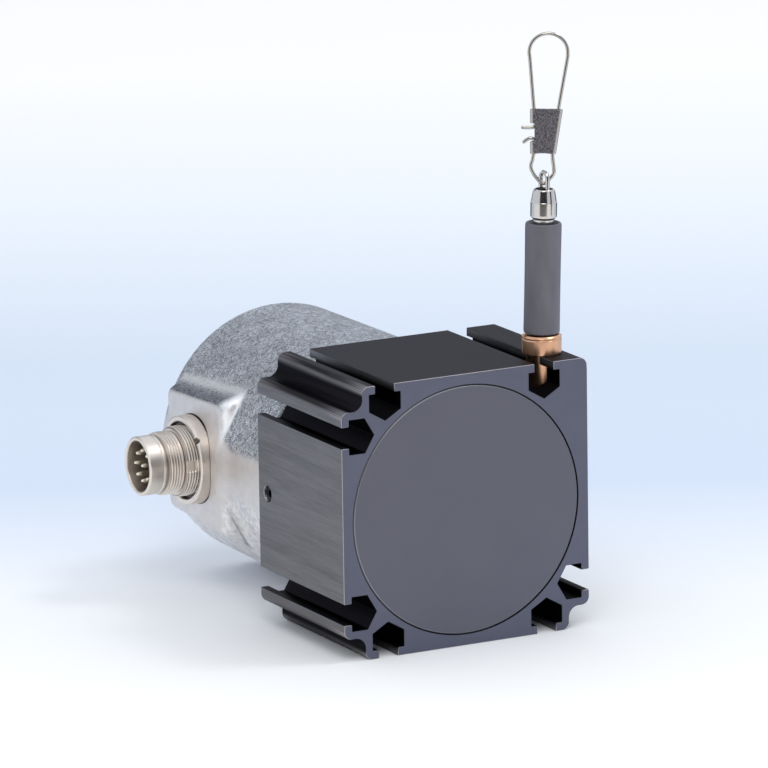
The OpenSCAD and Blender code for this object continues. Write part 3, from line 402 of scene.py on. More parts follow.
# %% Build the finishes
LENGTHWISE = {"y": 0.02}
AROUND_WIRE = {"x": 0.15, "y": 0.15}
FINISHES = {
    "black_anodised": anodised_profile(),
    "slate_anodised": milled_cap(),
    "grey_casting": casting_finish(),
    "bare_aluminium": worked_metal("turned_aluminium", (0.72, 0.72, 0.73), 0.34, 0.3, 0.01),
    "bright_steel": worked_metal("ground_steel", (0.62, 0.62, 0.63), 0.22, **LENGTHWISE),
    "dark_steel": worked_metal("blackened_steel", (0.05, 0.05, 0.055), 0.42),
    "spring_steel": worked_metal("blued_spring_steel", (0.20, 0.24, 0.34), 0.28, y=0.05),
    "sheet_steel": pressed_sheet(),
    "stainless_wire": worked_metal("drawn_wire", (0.62, 0.62, 0.64), 0.24, 0.2, 0.02),
    "nickel_wire": worked_metal("bright_nickel_wire", (0.60, 0.56, 0.51), 0.18, 0.5, 0.003),
    "swivel_chrome": worked_metal("chrome_plate", (0.66, 0.63, 0.60), 0.16, 0.8, 0.01, 0.12),
    "copper_bronze": worked_metal("turned_copper_bronze", (0.80, 0.46, 0.29), 0.30, 0.4, 0.002,
                                  0.12, **AROUND_WIRE),
    "cage_brass": worked_metal("stamped_brass", (0.72, 0.55, 0.28), 0.30),
    "standoff_brass": worked_metal("turned_brass", (0.74, 0.58, 0.30), 0.26, **LENGTHWISE),
    "ceramic": moulded("polished_ceramic", (0.82, 0.80, 0.74), 0.12, 1.0, 0.002, 0.05),
    "black_seal": moulded("seal_rubber", (0.012, 0.012, 0.013), 0.6),
    "felt_wiper": moulded("wool_felt", (0.10, 0.085, 0.065), 0.95, 0.2, 0.08, 0.4),
    "grey_rubber": moulded("slate_rubber_sleeve", (0.150, 0.148, 0.180), 0.42, 0.35, 0.05, 0.55,
                           z=0.25),
    "board_green": circuit_board(),
    "ribbon_grey": moulded("ribbon_insulation", (0.42, 0.44, 0.48), 0.4, 1.2, 0.05, 0.1),
    "sensor_black": moulded("sensor_housing", (0.02, 0.02, 0.022), 0.38, 0.4),
    "disc_glass": coded_glass(),
    "connector_nickel": worked_metal("champagne_nickel", (0.86, 0.775, 0.69), 0.40, 0.5, 0.006,
                                     0.12, hollow_shaded=True, x=0.4),
    "insert_brown": moulded("socket_insert", (0.14, 0.10, 0.08), 0.5, 0.4),
    "pin_gold": worked_metal("plated_contact", (0.93, 0.87, 0.74), 0.30, 0.4, 0.002, 0.05),
}
slots = {part["node"]: part["material_slot"] for part in frame["record"]["subparts"]}
for node, solid in frame["nodes"].items():
    solid.data.materials.clear()
    solid.data.materials.append(FINISHES[slots[node]].material)
print("finishes:", len(FINISHES))

# %% [markdown]
# ## Softened edges
# No real edge is a perfect line: deburring leaves a tenth of a millimetre of round, and that round
# is what draws the bright outlines of a machined piece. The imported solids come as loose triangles,
# so a Weld joins them, a planar Decimate turns flat fields back into single faces, and a Bevel
# rounds what is left sharp. The solid's own mesh is not touched.

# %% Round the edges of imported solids
def soften(node, width):
    """Rounds every edge sharper than 25 degrees over that width in millimetres."""
    solid = frame["nodes"][node]
    weld = solid.modifiers.new("weld", "WELD")
    weld.merge_threshold = 0.002 * MM
    flat = solid.modifiers.new("flatten", "DECIMATE")
    flat.decimate_type, flat.angle_limit = "DISSOLVE", math.radians(1)
    bevel = solid.modifiers.new("edge", "BEVEL")
    bevel.width, bevel.segments = width * MM, 2
    bevel.limit_method, bevel.angle_limit = "ANGLE", math.radians(25)
    bevel.use_clamp_overlap = False
    bevel.harden_normals = True
    print(node, "edges rounded over", width, "mm")


for node, width in {"profile_housing": 0.2, "front_cap": 0.08, "clamp_screw": 0.06}.items():
    soften(node, width)

# %% [markdown]
# ## Surfaces from grids
# Every new piece is a grid of points worked out at once with numpy: row i and column j of the grid
# is one point, and neighbours make a square. The columns go once round the piece, so the last joins
# the first. The rows either go round too, as on a ring, or end, and then a point in the middle of
# the first row and of the last closes them. The signed volume tells whether the faces look
# outwards, and turns them all if they do not.

# %% From a grid of points to a mesh
def squares_of(rows, columns, ring=False):
    """The four corner numbers of each square, shaped (rows, columns, 4); a ring joins the rows."""
    index = np.arange(rows * columns).reshape(rows, columns)
    index = np.concatenate([index, index[:, :1]], axis=1)
    if ring:
        index = np.concatenate([index, index[:1]], axis=0)
    return np.stack([index[:-1, :-1], index[1:, :-1], index[1:, 1:], index[:-1, 1:]], -1)


def closed(grid):
    """Points and faces of a grid whose rows end, with a fan of triangles at both ends."""
    rows, columns = grid.shape[:2]
    squares = squares_of(rows, columns)
    points = np.concatenate([grid.reshape(-1, 3), grid[:1].mean(1), grid[-1:].mean(1)])
    first, last = (np.full(columns, len(points) - k) for k in (2, 1))
    return points, [squares.reshape(-1, 4),
                    np.stack([squares[0, :, 3], first, squares[0, :, 0]], -1),
                    np.stack([squares[-1, :, 1], last, squares[-1, :, 2]], -1)]


def skin(name, grid, slot, body, ring=False, smooth_angle=40):
    """A piece from one grid; grid[i, j] is a point in millimetres."""
    if ring:
        points, faces = grid.reshape(-1, 3), [squares_of(*grid.shape[:2], ring=True).reshape(-1, 4)]
    else:
        points, faces = closed(grid)
    return build(name, points, faces, slot, body, smooth_angle)


# %% From points and faces to a piece
def build(name, points, faces, slot, body, smooth_angle=40):
    """Makes the mesh object, faces outwards, with its finish, slot and body. The volume is the
    sum of (a x b) . c / 6 over the triangles a, b, c."""
    corners = np.concatenate([f.ravel() for f in faces])
    counts = np.concatenate([np.full(len(f), f.shape[1]) for f in faces])
    fan = np.concatenate([np.concatenate([f[:, :3], f[:, [0, 2, 3]]]) if f.shape[1] == 4 else f
                          for f in faces])
    a, b, c = ((points - points.mean(0))[fan[:, k]] for k in range(3))
    if (np.cross(a, b) * c).sum() < 0:
        corners = np.concatenate([f[:, ::-1].ravel() for f in faces])
    mesh = bpy.data.meshes.new(name)
    mesh.vertices.add(len(points))
    mesh.vertices.foreach_set("co", (points * MM).astype(np.float32).ravel())
    mesh.loops.add(len(corners))
    mesh.loops.foreach_set("vertex_index", corners.astype(np.int32))
    mesh.polygons.add(len(counts))
    starts = np.concatenate([[0], np.cumsum(counts)[:-1]])
    mesh.polygons.foreach_set("loop_start", starts.astype(np.int32))
    mesh.update(calc_edges=True)
    mesh.validate()
    mesh.shade_smooth()
    mesh.set_sharp_from_angle(angle=math.radians(smooth_angle))
    piece = bpy.data.objects.new(name, mesh)
    bpy.context.scene.collection.objects.link(piece)
    mesh.materials.append(FINISHES[slot].material)
    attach(piece, body)
    print(name, len(points), "points")
    return piece


# %% [markdown]
# ## Profiles with round corners
# A turned piece is an outline spun about an axis. The outline is written as a few corners, and
# each corner is replaced by a small arc, as a lathe tool's nose leaves it.

# %% Rounded outlines
def rounded(corners, radius, steps=4):
    """Each corner p becomes a curve p + (1-t)^2 * u + t^2 * v, t from 0 to 1, where u and v lead
    to its two neighbours and are at most radius, or a third of the side, long."""
    p = np.array(corners, float)
    t = np.linspace(0, 1, steps + 1)[None, :, None]
    before, after = np.roll(p, 1, 0) - p, np.roll(p, -1, 0) - p

    def cut(side):
        length = np.linalg.norm(side, axis=1, keepdims=True)
        return side / length * np.minimum(radius, length / 3)

    u, v = cut(before)[:, None], cut(after)[:, None]
    return (p[:, None] + (1 - t) ** 2 * u + t ** 2 * v).reshape(-1, 2)


def divided(outline, longest, where):
    """Splits the sides that start where the test is true, until none is longer than longest."""
    after = np.roll(outline, -1, 0)
    length = np.linalg.norm(after - outline, axis=1)
    count = np.where(where(outline), np.ceil(length / longest), 1).astype(int)
    first = np.repeat(np.arange(len(outline)), count)
    share = (np.arange(count.sum()) - np.repeat(np.cumsum(count) - count, count)) / count[first]
    return outline[first] + (after - outline)[first] * share[:, None]


print("a square with round corners has", len(rounded([(0, 0), (1, 0), (1, 1), (0, 1)], 0.1)),
      "points")


# %% An outline carried round an axis
def frame_of(origin, along):
    """Three unit directions: two across and one along, the last given."""
    w = np.array(along, float) / np.linalg.norm(along)
    side = np.array([0.0, 1.0, 0.0]) if abs(w[1]) < 0.9 else np.array([1.0, 0.0, 0.0])
    u = np.cross(side, w)
    u /= np.linalg.norm(u)
    return np.array(origin, float), u, np.cross(w, u), w


def angles(count):
    """That many equal steps once round, in a row."""
    return np.linspace(0, 2 * np.pi, count, endpoint=False)[None, :]


def spun(place, r, a, s):
    """The point at radius r, angle a and station s: origin + r*(cos(a)*u + sin(a)*v) + s*w."""
    origin, u, v, w = place
    a = a[..., None]
    return origin + r[..., None] * (np.cos(a) * u + np.sin(a) * v) + s[..., None] * w


def turned(outline, place, sides=96):
    """The outline's points (r, s) carried once round the place's axis."""
    return spun(place, outline[:, :1], angles(sides), outline[:, 1:])


def from_direction(angle, degrees):
    """How far an angle lies from a direction, from -pi to pi."""
    return np.angle(np.exp(1j * (angle - math.radians(degrees))))


# %% [markdown]
# ## The cast cup and its boss
# The encoder's housing is one casting: a cup with a slight taper, and a flat boss that grows out
# of its side for the connector. Adding two separate shapes would leave a hard seam, while a real
# casting flows from one into the other. So both are described by distances: below zero inside,
# above zero outside. A ray leaves the drum axis in every direction and at every station, and
# halving its length again and again finds where the joined distance is zero.

# %% Distances that join smoothly
CAST_R = CAST_HIGH[0]
CAST_DRAFT = 0.6
BOSS_LONG, BOSS_TALL = 31.4, 32.6
BOSS_Y = PLUG_Y - 0.3
BOSS_FRONT, BOSS_REAR = BOSS_Y - BOSS_LONG / 2, BOSS_Y + BOSS_LONG / 2
TOP_LEAN, FRONT_LEAN, REAR_LEAN = 0.48, 0.24, 0.28
BOSS_NARROWS = 0.046
FLOW_HEIGHT = 15
print("boss from y", round(BOSS_FRONT, 2), "to", round(BOSS_REAR, 2))


def smooth_least(a, b, k):
    """min(a, b) - k/4 * max(1 - |a-b|/k, 0)^2: the two meet in a hollow fillet."""
    return np.minimum(a, b) - k / 4 * np.maximum(1 - np.abs(a - b) / k, 0) ** 2


def smooth_most(a, b, k):
    """max(a, b) + k/4 * max(1 - |a-b|/k, 0)^2: the two meet in a round edge."""
    return -smooth_least(-a, -b, k)


# %% The cup and the boss as distances
def level_with_axis(h):
    """(1 - h^2/15^2)^2: the boss flows into the cup at this height, and has edges far from it."""
    return np.clip(1 - (h / FLOW_HEIGHT) ** 2, 0, 1) ** 2


def boss_walls(x, y, h):
    """Distances from the boss's top, front and rear walls, which lean outwards with their depth
    behind the face; the top and bottom draw together towards the rear."""
    depth = x - BOSS_X
    tall = BOSS_TALL / 2 + 0.2 - BOSS_NARROWS * (y - BOSS_FRONT) + TOP_LEAN * depth
    top = (np.abs(h) - tall) / math.hypot(1, TOP_LEAN)
    front = (BOSS_FRONT + 0.3 - FRONT_LEAN * depth - y) / math.hypot(1, FRONT_LEAN)
    rear = y - (BOSS_REAR + REAR_LEAN * depth)
    return top, front, rear


def casting_parts(x, y, h):
    """Cup: sqrt(x^2+h^2) - R(y). Boss: the greatest of its walls' distances, with rounds that
    grow at the height of the axis and at the front; it ends 8 mm short of the axis."""
    along = (y - BACK_Y) / (CAST_HIGH[1] - BACK_Y)
    cup = np.hypot(x, h) - (CAST_R - CAST_DRAFT * along)
    top, front, rear = boss_walls(x, y, h)
    walls = smooth_most(top, smooth_most(front, rear, 1.0), 2.6)
    round_edge = 1.1 + 3.4 * level_with_axis(h) + 1.5 * np.clip(1 + (front + 1) / 3, 0, 1)
    return cup, np.maximum(smooth_most(walls, BOSS_X - x, round_edge), x + 8)


def casting_distance(x, y, h):
    """The two joined, in a fillet that is widest at the height of the axis."""
    return smooth_least(*casting_parts(x, y, h), 0.9 + 4.6 * level_with_axis(h))


print("distance on the drum axis", round(float(casting_distance(0, PLUG_Y, 0)), 2))


# %% Where the casting gets painted highlights and painted shade
def ramp(value, zero, one):
    """0 up to the first place, 1 from the second, straight between; either may be the greater."""
    return np.clip((value - zero) / (one - zero), 0, 1)


def near(value, middle, width):
    """exp(-((value - middle) / width)^2): 1 at the middle and a third one width away."""
    return np.exp(-((value - middle) / width) ** 2)


def painted_light_marks(points):
    """Two measures per point, 0 to 1. Painted highlight: the rim where the top wall runs into the
    cup, the upper front corner and the upper front wall. Painted shade: the top wall itself and
    the crease under the boss."""
    x, y, h = points[:, 0], points[:, 1], points[:, 2] - AXIS_Z
    cup, boss = casting_parts(x, y, h)
    top, front, rear = boss_walls(x, y, h)
    gap, skin_deep = cup - boss, boss > -1
    upper, on_boss = ramp(h, 0, 4), ramp(gap, -0.15, 0.15) * skin_deep
    # painted highlight on the rim, the front corner and the front wall; painted shade below
    rim = near(gap, 0.25, 0.75) * upper * (np.abs(h) > 12) * ramp(rear, 0.5, -1.5)
    corner = near(np.hypot(front + 0.6, np.maximum(-top, 0) + 0.3), 0.3, 1.7) * upper * on_boss
    wall = ramp(front, -2.2, -0.6) * ramp(gap, -0.8, 0) * skin_deep * upper * ramp(h, 0, 10)
    bright = np.clip(np.maximum(np.maximum(rim * 0.8, corner * 1.2), wall), 0, 1)
    band = near(top, 0, 0.7) * on_boss * upper * ramp(gap, 0, 2.5) * ramp(front, 0, -2)
    crease = near(gap, -0.1, 0.4) * ramp(h, -9, -13) * (np.abs(front) < 3)
    return bright, np.clip(np.maximum(band * 0.9, crease) * (1 - bright), 0, 1)


# %% The cup's skin
def stations(*pieces):
    """Joins evenly spaced runs (start, end, count) into one rising row of numbers."""
    return np.unique(np.concatenate([np.linspace(*p) for p in pieces]))


def outer_radius(y, turn):
    """The ray's length at which the casting's distance is zero: it lies between two lengths,
    and each halving moves one of them to their middle."""
    shortest, longest, halvings = 25.0, 44.0, 26
    low = np.full((len(y), len(turn)), shortest)
    high = np.full_like(low, longest)
    for _ in range(halvings):
        middle = (low + high) / 2
        outside = casting_distance(-middle * np.cos(turn), y[:, None], middle * np.sin(turn)) > 0
        high, low = np.where(outside, middle, high), np.where(outside, low, middle)
    return low


def cast_cup():
    """Rows run from the floor inside, round the open edge, along the outside and over the end."""
    edge, wall, back_round = 0.5, 3.1, 2.0
    end_y, end_r, inner = CAST_HIGH[1], CAST_R - CAST_DRAFT, CAST_R - wall
    y = stations((BACK_Y + edge, BOSS_FRONT - 2, 12), (BOSS_FRONT - 2, BOSS_FRONT + 3, 44),
                 (BOSS_FRONT + 3, BOSS_REAR - 3, 24), (BOSS_REAR - 3, BOSS_REAR + 2, 36),
                 (BOSS_REAR + 2, end_y - back_round, 6))
    turn = np.radians(stations((-180, -44, 54), (-44, 44, 420), (44, 180, 54))[:-1])
    arc = np.radians(np.linspace(8, 90, 8))
    before = np.array([(inner - 1, end_y - wall), (inner, end_y - wall - 1), (inner, BACK_Y + 0.3),
                       (inner + 0.3, BACK_Y), (CAST_R - edge, BACK_Y),
                       (CAST_R - 0.15, BACK_Y + 0.15)])
    after = np.stack([end_r - back_round * (1 - np.cos(arc)),
                      end_y - back_round * (1 - np.sin(arc))], -1)
    plain = np.ones(len(turn))
    r = np.concatenate([before[:, :1] * plain, outer_radius(y, turn), after[:, :1] * plain])
    places = np.concatenate([before[:, 1], y, after[:, 1]])[:, None]
    grid = np.stack([-r * np.cos(turn), places + 0 * r, AXIS_Z + r * np.sin(turn)], -1)
    return skin("cast_cup", grid, "grey_casting", "housing", smooth_angle=55)


# %% Numbers painted on the mesh
def places_on(piece):
    """The piece's points, in millimetres."""
    points = np.empty(len(piece.data.vertices) * 3, np.float32)
    piece.data.vertices.foreach_get("co", points)
    return points.reshape(-1, 3) / MM


def paint(piece, name, values):
    """Stores one number per vertex under a name, for the material to read."""
    layer = piece.data.attributes.new(name, "FLOAT", "POINT")
    layer.data.foreach_set("value", values.astype(np.float32))
    print(piece.name, "painted", name, "on", int((values > 0.5).sum()), "points")


cup = cast_cup()
# store the painted highlight and the painted shade on the cup
for name, values in zip(("rubbed", "sheltered"), painted_light_marks(places_on(cup))):
    paint(cup, name, values)
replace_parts(cup, "encoder_housing")

# %% [markdown]
# ## The connector
# Its shell is turned from one bar: a rear thread, the coupling thread for the plug, then a smooth
# nose round eight pins. A key flat is milled into the rear thread. The fastening ring round it has
# a sunk face and one notch for a spanner. A thread is a groove that climbs one pitch a turn, so
# the groove's depth depends on the place along the axis and on the angle at once. That is simple
# on a grid, where both are numbers, and would be slow work by hand. Shade is painted dark brown
# into the roots of the threads, the socket and the ring's hollows, so how deep a point lies is
# painted on the mesh for the finish to read.

# %% Threads cut into a turned shell
PLUG = (np.array([BOSS_X, PLUG_Y, AXIS_Z]), np.array([0.0, -1.0, 0.0]),
        np.array([0.0, 0.0, 1.0]), np.array([-1.0, 0.0, 0.0]))
SHELL_OUT, RING_T = BOSS_X - SHELL_LOW[0], BOSS_X - RING_LOW[0]
NOSE_R, THREAD_R, REAR_R, SOCKET_R = 7.45, 8.0, 8.9, 6.4
REAR_END, THREAD_END = RING_T + 2.7, RING_T + 7.2
PITCH, THREAD_DEPTH = 0.75, 0.34
RECESS, RING_FACE = 1.4, 1.4
KEY_TURN, NOTCH_TURN = 2, 38


def thread_cut(s, angle, start, end):
    """depth * |2*frac(s/pitch - angle/2pi) - 1|, flattened at crest and root, and faded out
    over a third of a pitch at both ends."""
    wave = np.abs(2 * np.mod(s / PITCH - angle / (2 * np.pi), 1) - 1)
    wave = np.clip(wave * 1.5 - 0.25, 0, 1)
    return THREAD_DEPTH * wave * ramp(s, start, start + PITCH / 3) * ramp(s, end, end - PITCH / 3)


def threaded_shell():
    """Outline (radius, station) from the bore's foot up the outside, then the threads' cut."""
    a, low, back = angles(200), RING_T - RECESS + 0.05, -8
    corners = [(SOCKET_R, back), (7.85, back), (7.85, low), (REAR_R, low + 0.1),
               (REAR_R, REAR_END - 0.35), (REAR_R - 0.55, REAR_END),
               (THREAD_R - 0.5, REAR_END + 0.1), (THREAD_R, REAR_END + 0.4),
               (THREAD_R, THREAD_END - 0.3), (7.1, THREAD_END),
               (7.1, THREAD_END + 0.35), (NOSE_R, THREAD_END + 0.5), (NOSE_R, THREAD_END + 1.0),
               (7.25, THREAD_END + 1.1), (7.25, THREAD_END + 1.3), (NOSE_R, THREAD_END + 1.4),
               (NOSE_R, SHELL_OUT - 0.3), (NOSE_R - 0.35, SHELL_OUT), (SOCKET_R + 0.3, SHELL_OUT),
               (SOCKET_R, SHELL_OUT - 0.35)]
    outline = divided(rounded(corners, 0.12, 2), 0.085, lambda p: p[:, 0] > THREAD_R - 0.1)
    r, s = outline[:, :1], outline[:, 1:]
    cut = thread_cut(s, a, RING_T - 1.2, REAR_END - 0.1) \
        + thread_cut(s, a, REAR_END + 0.3, THREAD_END - 0.1)
    radius = r - np.where(r > THREAD_R - 0.1, cut, 0)
    key = from_direction(a, KEY_TURN)
    flat = (np.abs(key) < math.radians(9)) & (r > THREAD_R + 0.2) & (s > RING_T + 0.2)
    radius = np.where(flat, np.minimum(radius, (REAR_R - 0.45) / np.cos(key)), radius)
    return skin("threaded_shell", spun(PLUG, radius, a, s), "connector_nickel", "housing",
                ring=True, smooth_angle=35)


# %% The fastening ring
def fastening_ring():
    """The notch is 1 - (swing/0.75)^2 - (depth/0.9)^2 deep, where that is above zero."""
    a, bore, face, low = angles(300), 8.25, RING_R - RING_FACE, RING_T - RECESS
    outline = rounded([(bore, 0.02), (RING_R - 0.5, 0.02), (RING_R - 0.5, 0.3),
                       (RING_R - 0.1, 0.36), (RING_R, 0.5), (RING_R, RING_T - 1.1),
                       (RING_R, RING_T - 0.8), (RING_R, RING_T - 0.5), (RING_R, RING_T - 0.3),
                       (RING_R - 0.4, RING_T), (face + 0.15, RING_T), (face, RING_T - 0.2),
                       (face - 0.1, low), (bore, low)], 0.15, 3)
    r, s = outline[:, :1], outline[:, 1:]
    swing = from_direction(a, NOTCH_TURN) * RING_R
    notch = np.clip(1 - (swing / 0.75) ** 2 - ((RING_T - s) / 0.9) ** 2, 0, 1) * (r > RING_R - 0.6)
    return skin("fastening_ring", spun(PLUG, r - notch, a, s), "connector_nickel", "housing",
                ring=True, smooth_angle=35)


# %% Painted shade in the threads and hollows
def about_plug(points):
    """Station, radius and angle of each point about the connector's axis."""
    across, upward = PLUG_Y - points[:, 1], points[:, 2] - AXIS_Z
    return BOSS_X - points[:, 0], np.hypot(across, upward), np.arctan2(upward, across)


def shell_hollow_shade(points):
    """Painted shade: how deep a point lies below the crest of its thread, 0 to 1 over a quarter
    millimetre, and darker with its depth in the socket; the key flat gets none."""
    s, r, angle = about_plug(points)
    crest = np.where(s < REAR_END, REAR_R, np.where(s < THREAD_END + 0.3, THREAD_R - 0.1, 0))
    keyed = (np.abs(from_direction(angle, KEY_TURN)) < math.radians(10)) & (s < REAR_END)
    threads = (s > RING_T - RECESS) & (r > 7.0) & ~keyed
    socket = (r < SOCKET_R + 0.2) * ramp(s, SHELL_OUT, SHELL_OUT - 1.5) * 0.8
    return np.maximum(0.6 * ramp(crest - r, 0.08, 0.33) * threads, socket)


def ring_hollow_shade(points):
    """Painted shade: 1 in the ring's sunk face, in its notch and in the joint at its foot."""
    s, r, angle = about_plug(points)
    swing = np.abs(from_direction(angle, NOTCH_TURN)) * RING_R
    notch = (swing < 0.8) & (s > RING_T - 0.9) & (r < RING_R - 0.05) & (r > RING_R - 1.2)
    sunk = (r < RING_R - RING_FACE + 0.05) & (s < RING_T - 0.3)
    foot = (s < 0.38) & (r < RING_R - 0.2)
    return (notch | sunk | foot) * 1.0


# %% Pins, and the connector put together
def pins():
    """One pointed pin in the middle and seven round it, spread over 262 degrees."""
    circle_r, spread, count = 3.9, 262, 7
    tip = BOSS_X - span("contact_pins")[0][0]
    around = np.radians(90 - spread / 2 + spread * np.arange(count) / (count - 1))
    outline = np.array([(0.30, 2.0), (0.62, 2.2), (0.62, tip - 1.5), (0.58, tip - 1.1),
                        (0.40, tip - 0.3), (0.30, tip - 0.08), (0.16, tip)])
    u, v = PLUG[1:3]
    moves = circle_r * (np.cos(around)[:, None] * v - np.sin(around)[:, None] * u)
    points, faces = [], []
    for number, move in enumerate([np.zeros(3), *moves]):
        pin, sides = closed(turned(outline, PLUG, 24) + move)
        points.append(pin)
        faces += [side + number * len(pin) for side in sides]
    return build("pointed_pins", np.concatenate(points), faces, "pin_gold", "housing")


shell = threaded_shell()
# painted shade in the threads, the socket and the ring's hollows
paint(shell, "grime", shell_hollow_shade(places_on(shell)))
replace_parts(shell, "connector_shell")
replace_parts(pins(), "contact_pins")
ring = fastening_ring()
paint(ring, "grime", ring_hollow_shade(places_on(ring)))
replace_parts(ring, "connector_ring")

# %% [markdown]
# ## The wire's nozzle
# A turned bush of copper bronze: its shank is pressed into the profile's solid corner, its collar
# stands on top, and a hard ring inside guides the wire. It is an outline spun about the wire.

# %% Turn the nozzle
def nozzle():
    """Outline (radius, height over the profile): bore, shank, collar with a groove, mouth."""
    top, foot = NOZZLE_HIGH[2] - BODY_HIGH[2], NOZZLE_LOW[2] - BODY_HIGH[2]
    collar = (NOZZLE_HIGH[0] - NOZZLE_LOW[0]) / 2
    corners = [(1.2, foot + 5), (2.4, foot + 5), (2.4, foot), (3.55, foot), (3.9, foot + 0.4),
               (3.9, -0.02), (collar - 0.15, 0.02), (collar, 0.2), (collar, top - 1.15),
               (collar - 0.16, top - 1.0), (collar - 0.16, top - 0.85), (collar, top - 0.7),
               (collar, top - 0.45), (collar - 0.45, top), (2.7, top), (2.4, top - 0.3),
               (2.4, top - 3.6), (1.2, top - 3.6)]
    place = frame_of((WIRE_X, WIRE_Y, BODY_HIGH[2]), (0, 0, 1))
    return skin("nozzle", turned(rounded(corners, 0.12, 3), place, 128), "copper_bronze",
                "housing", ring=True)


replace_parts(nozzle(), "wire_nozzle")

# %% [markdown]
# ## The wire's end
# The slack wire lets its end lean a little on the nozzle, so the sleeve, the swivel and the snap
# hook share one leaning axis. Its direction and its places come from the joints of the packed
# model. The sleeve is rubber over a crimped ferrule, dished where the swivel's neck goes in.

# %% Places along the leaning end
JOINTS = {joint["name"]: joint for joint in frame["joints"]}
END_AXIS = np.array(JOINTS["swivel_turn"]["axis"])
END_POINT = np.array(JOINTS["swivel_turn"]["pos_m"]) / MM


def reach(node):
    """Lowest and highest place of a solid along the leaning end, from the joint's point:
    (p - point) . axis."""
    s = (places_on(frame["nodes"][node]) - END_POINT) @ END_AXIS
    return s.min(), s.max()


def at_end(s):
    """A frame on the leaning axis, s millimetres above the barrel's top."""
    return frame_of(END_POINT + END_AXIS * s, END_AXIS)


SLEEVE_LOW, SLEEVE_TOP = reach("rubber_sleeve")
print("sleeve from", round(SLEEVE_LOW, 2), "to", round(SLEEVE_TOP, 2), "from the barrel's top")


# %% Sleeve and barrel
FERRULE_R = 1.56


def sleeve():
    """A hair thicker at both ends than between them, with the dish at the top."""
    long, r = SLEEVE_TOP - SLEEVE_LOW, 4.45
    corners = [(FERRULE_R, 0), (r - 0.3, 0), (r, 0.3), (r + 0.02, 1.2), (r - 0.03, 9),
               (r - 0.03, long - 9), (r + 0.02, long - 1.4), (r, long - 0.3), (r - 0.25, long),
               (3.95, long), (3.72, long - 0.25), (3.3, long - 0.9), (2.75, long - 1.2),
               (FERRULE_R, long - 1.2)]
    return skin("sleeve", turned(rounded(corners, 0.3, 3), at_end(SLEEVE_LOW)), "grey_rubber",
                "wire_end", ring=True)


def barrel():
    """A neck in the sleeve's dish, the barrel, its cone and the socket the eye turns in."""
    neck_r, r, top_r, socket_r = 2.62, 3.25, 2.55, 2.15
    low, foot = SLEEVE_TOP - 1.1, SLEEVE_TOP + 1.0
    corners = [(FERRULE_R, low), (neck_r, low), (neck_r, foot - 0.12), (r - 0.5, foot - 0.02),
               (r - 0.04, foot + 0.35), (r, foot + 0.9), (r, -3.55), (r, -3.28), (r - 0.12, -3.1),
               (top_r + 0.12, -0.35), (top_r - 0.12, -0.05), (socket_r + 0.05, 0),
               (socket_r, -0.5), (socket_r, -5.0), (FERRULE_R, -5.6)]
    return skin("barrel", turned(rounded(corners, 0.35), at_end(0), 128), "swivel_chrome",
                "wire_end", ring=True)


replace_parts(sleeve(), "rubber_sleeve")
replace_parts(barrel(), "swivel_barrel")

# %% [markdown]
# ## Bent wire
# The eye and the snap hook are round wire bent to shape. A smooth curve is led through a few
# points, and a circle is carried along it. Because each bend lies in one plane, that plane's
# normal keeps the circles from twisting. Smaller and smaller circles round both ends.

# %% Smooth curves and tubes along them
def through(points, steps):
    """Catmull-Rom curve: (2b + (c-a)t + (2a-5b+4c-d)t^2 + (3b-a-3c+d)t^3) / 2 between b and c."""
    p = np.array(points, float)
    p = np.concatenate([2 * p[:1] - p[1:2], p, 2 * p[-1:] - p[-2:-1]])
    a, b, c, d = (p[k:len(p) - 3 + k][:, None] for k in range(4))
    t = np.linspace(0, 1, steps, endpoint=False)[None, :, None]
    curve = (2 * b + (c - a) * t + (2 * a - 5 * b + 4 * c - d) * t ** 2
             + (3 * b - a - 3 * c + d) * t ** 3) / 2
    return np.concatenate([curve.reshape(-1, p.shape[1]), p[-2:-1]])


CAP_TURNS, CAP_SUNK = np.radians([12, 40, 65]), 0.6


def wire(name, path, radius, normal, slot, body, sides):
    """Point at angle q of row i: path_i + R_i * (cos(q) * side_i + sin(q) * rise_i). The first
    and last point give way to three rows each, R*sin(t) wide and R*(cos(t) - 0.6) further out."""
    heading = np.gradient(path, axis=0)
    heading /= np.linalg.norm(heading, axis=1, keepdims=True)
    side = np.cross(heading, normal)
    side /= np.linalg.norm(side, axis=1, keepdims=True)
    rise = np.cross(side, heading)
    out = radius * (np.cos(CAP_TURNS) - CAP_SUNK)[:, None]
    path = np.concatenate([path[:1] - heading[:1] * out, path[1:-1],
                           path[-1:] + heading[-1:] * out[::-1]])
    width, ends = np.sin(CAP_TURNS), len(CAP_TURNS)
    radii = radius * np.concatenate([width, np.ones(len(path) - 2 * ends), width[::-1]])
    row = np.concatenate([[0] * ends, np.arange(1, len(side) - 1), [-1] * ends])
    q, side, rise = angles(sides)[..., None], side[row][:, None], rise[row][:, None]
    grid = path[:, None] + radii[:, None, None] * (np.cos(q) * side + np.sin(q) * rise)
    return skin(name, grid, slot, body, smooth_angle=80)


# %% [markdown]
# ## The swivel's eye and the snap hook
# Two directions make the hook's frame: the leaning axis, and the axis it tilts about, which lies
# across the hook. The snap hook is one length of wire: its two ends are held in a folded sheet
# clasp, its small loop passes through the swivel's eye, and its large loop goes round whatever
# pulls the wire. Places across are shares of the clasp's half width; places along are shares of
# the small loop's height or of the clasp's.

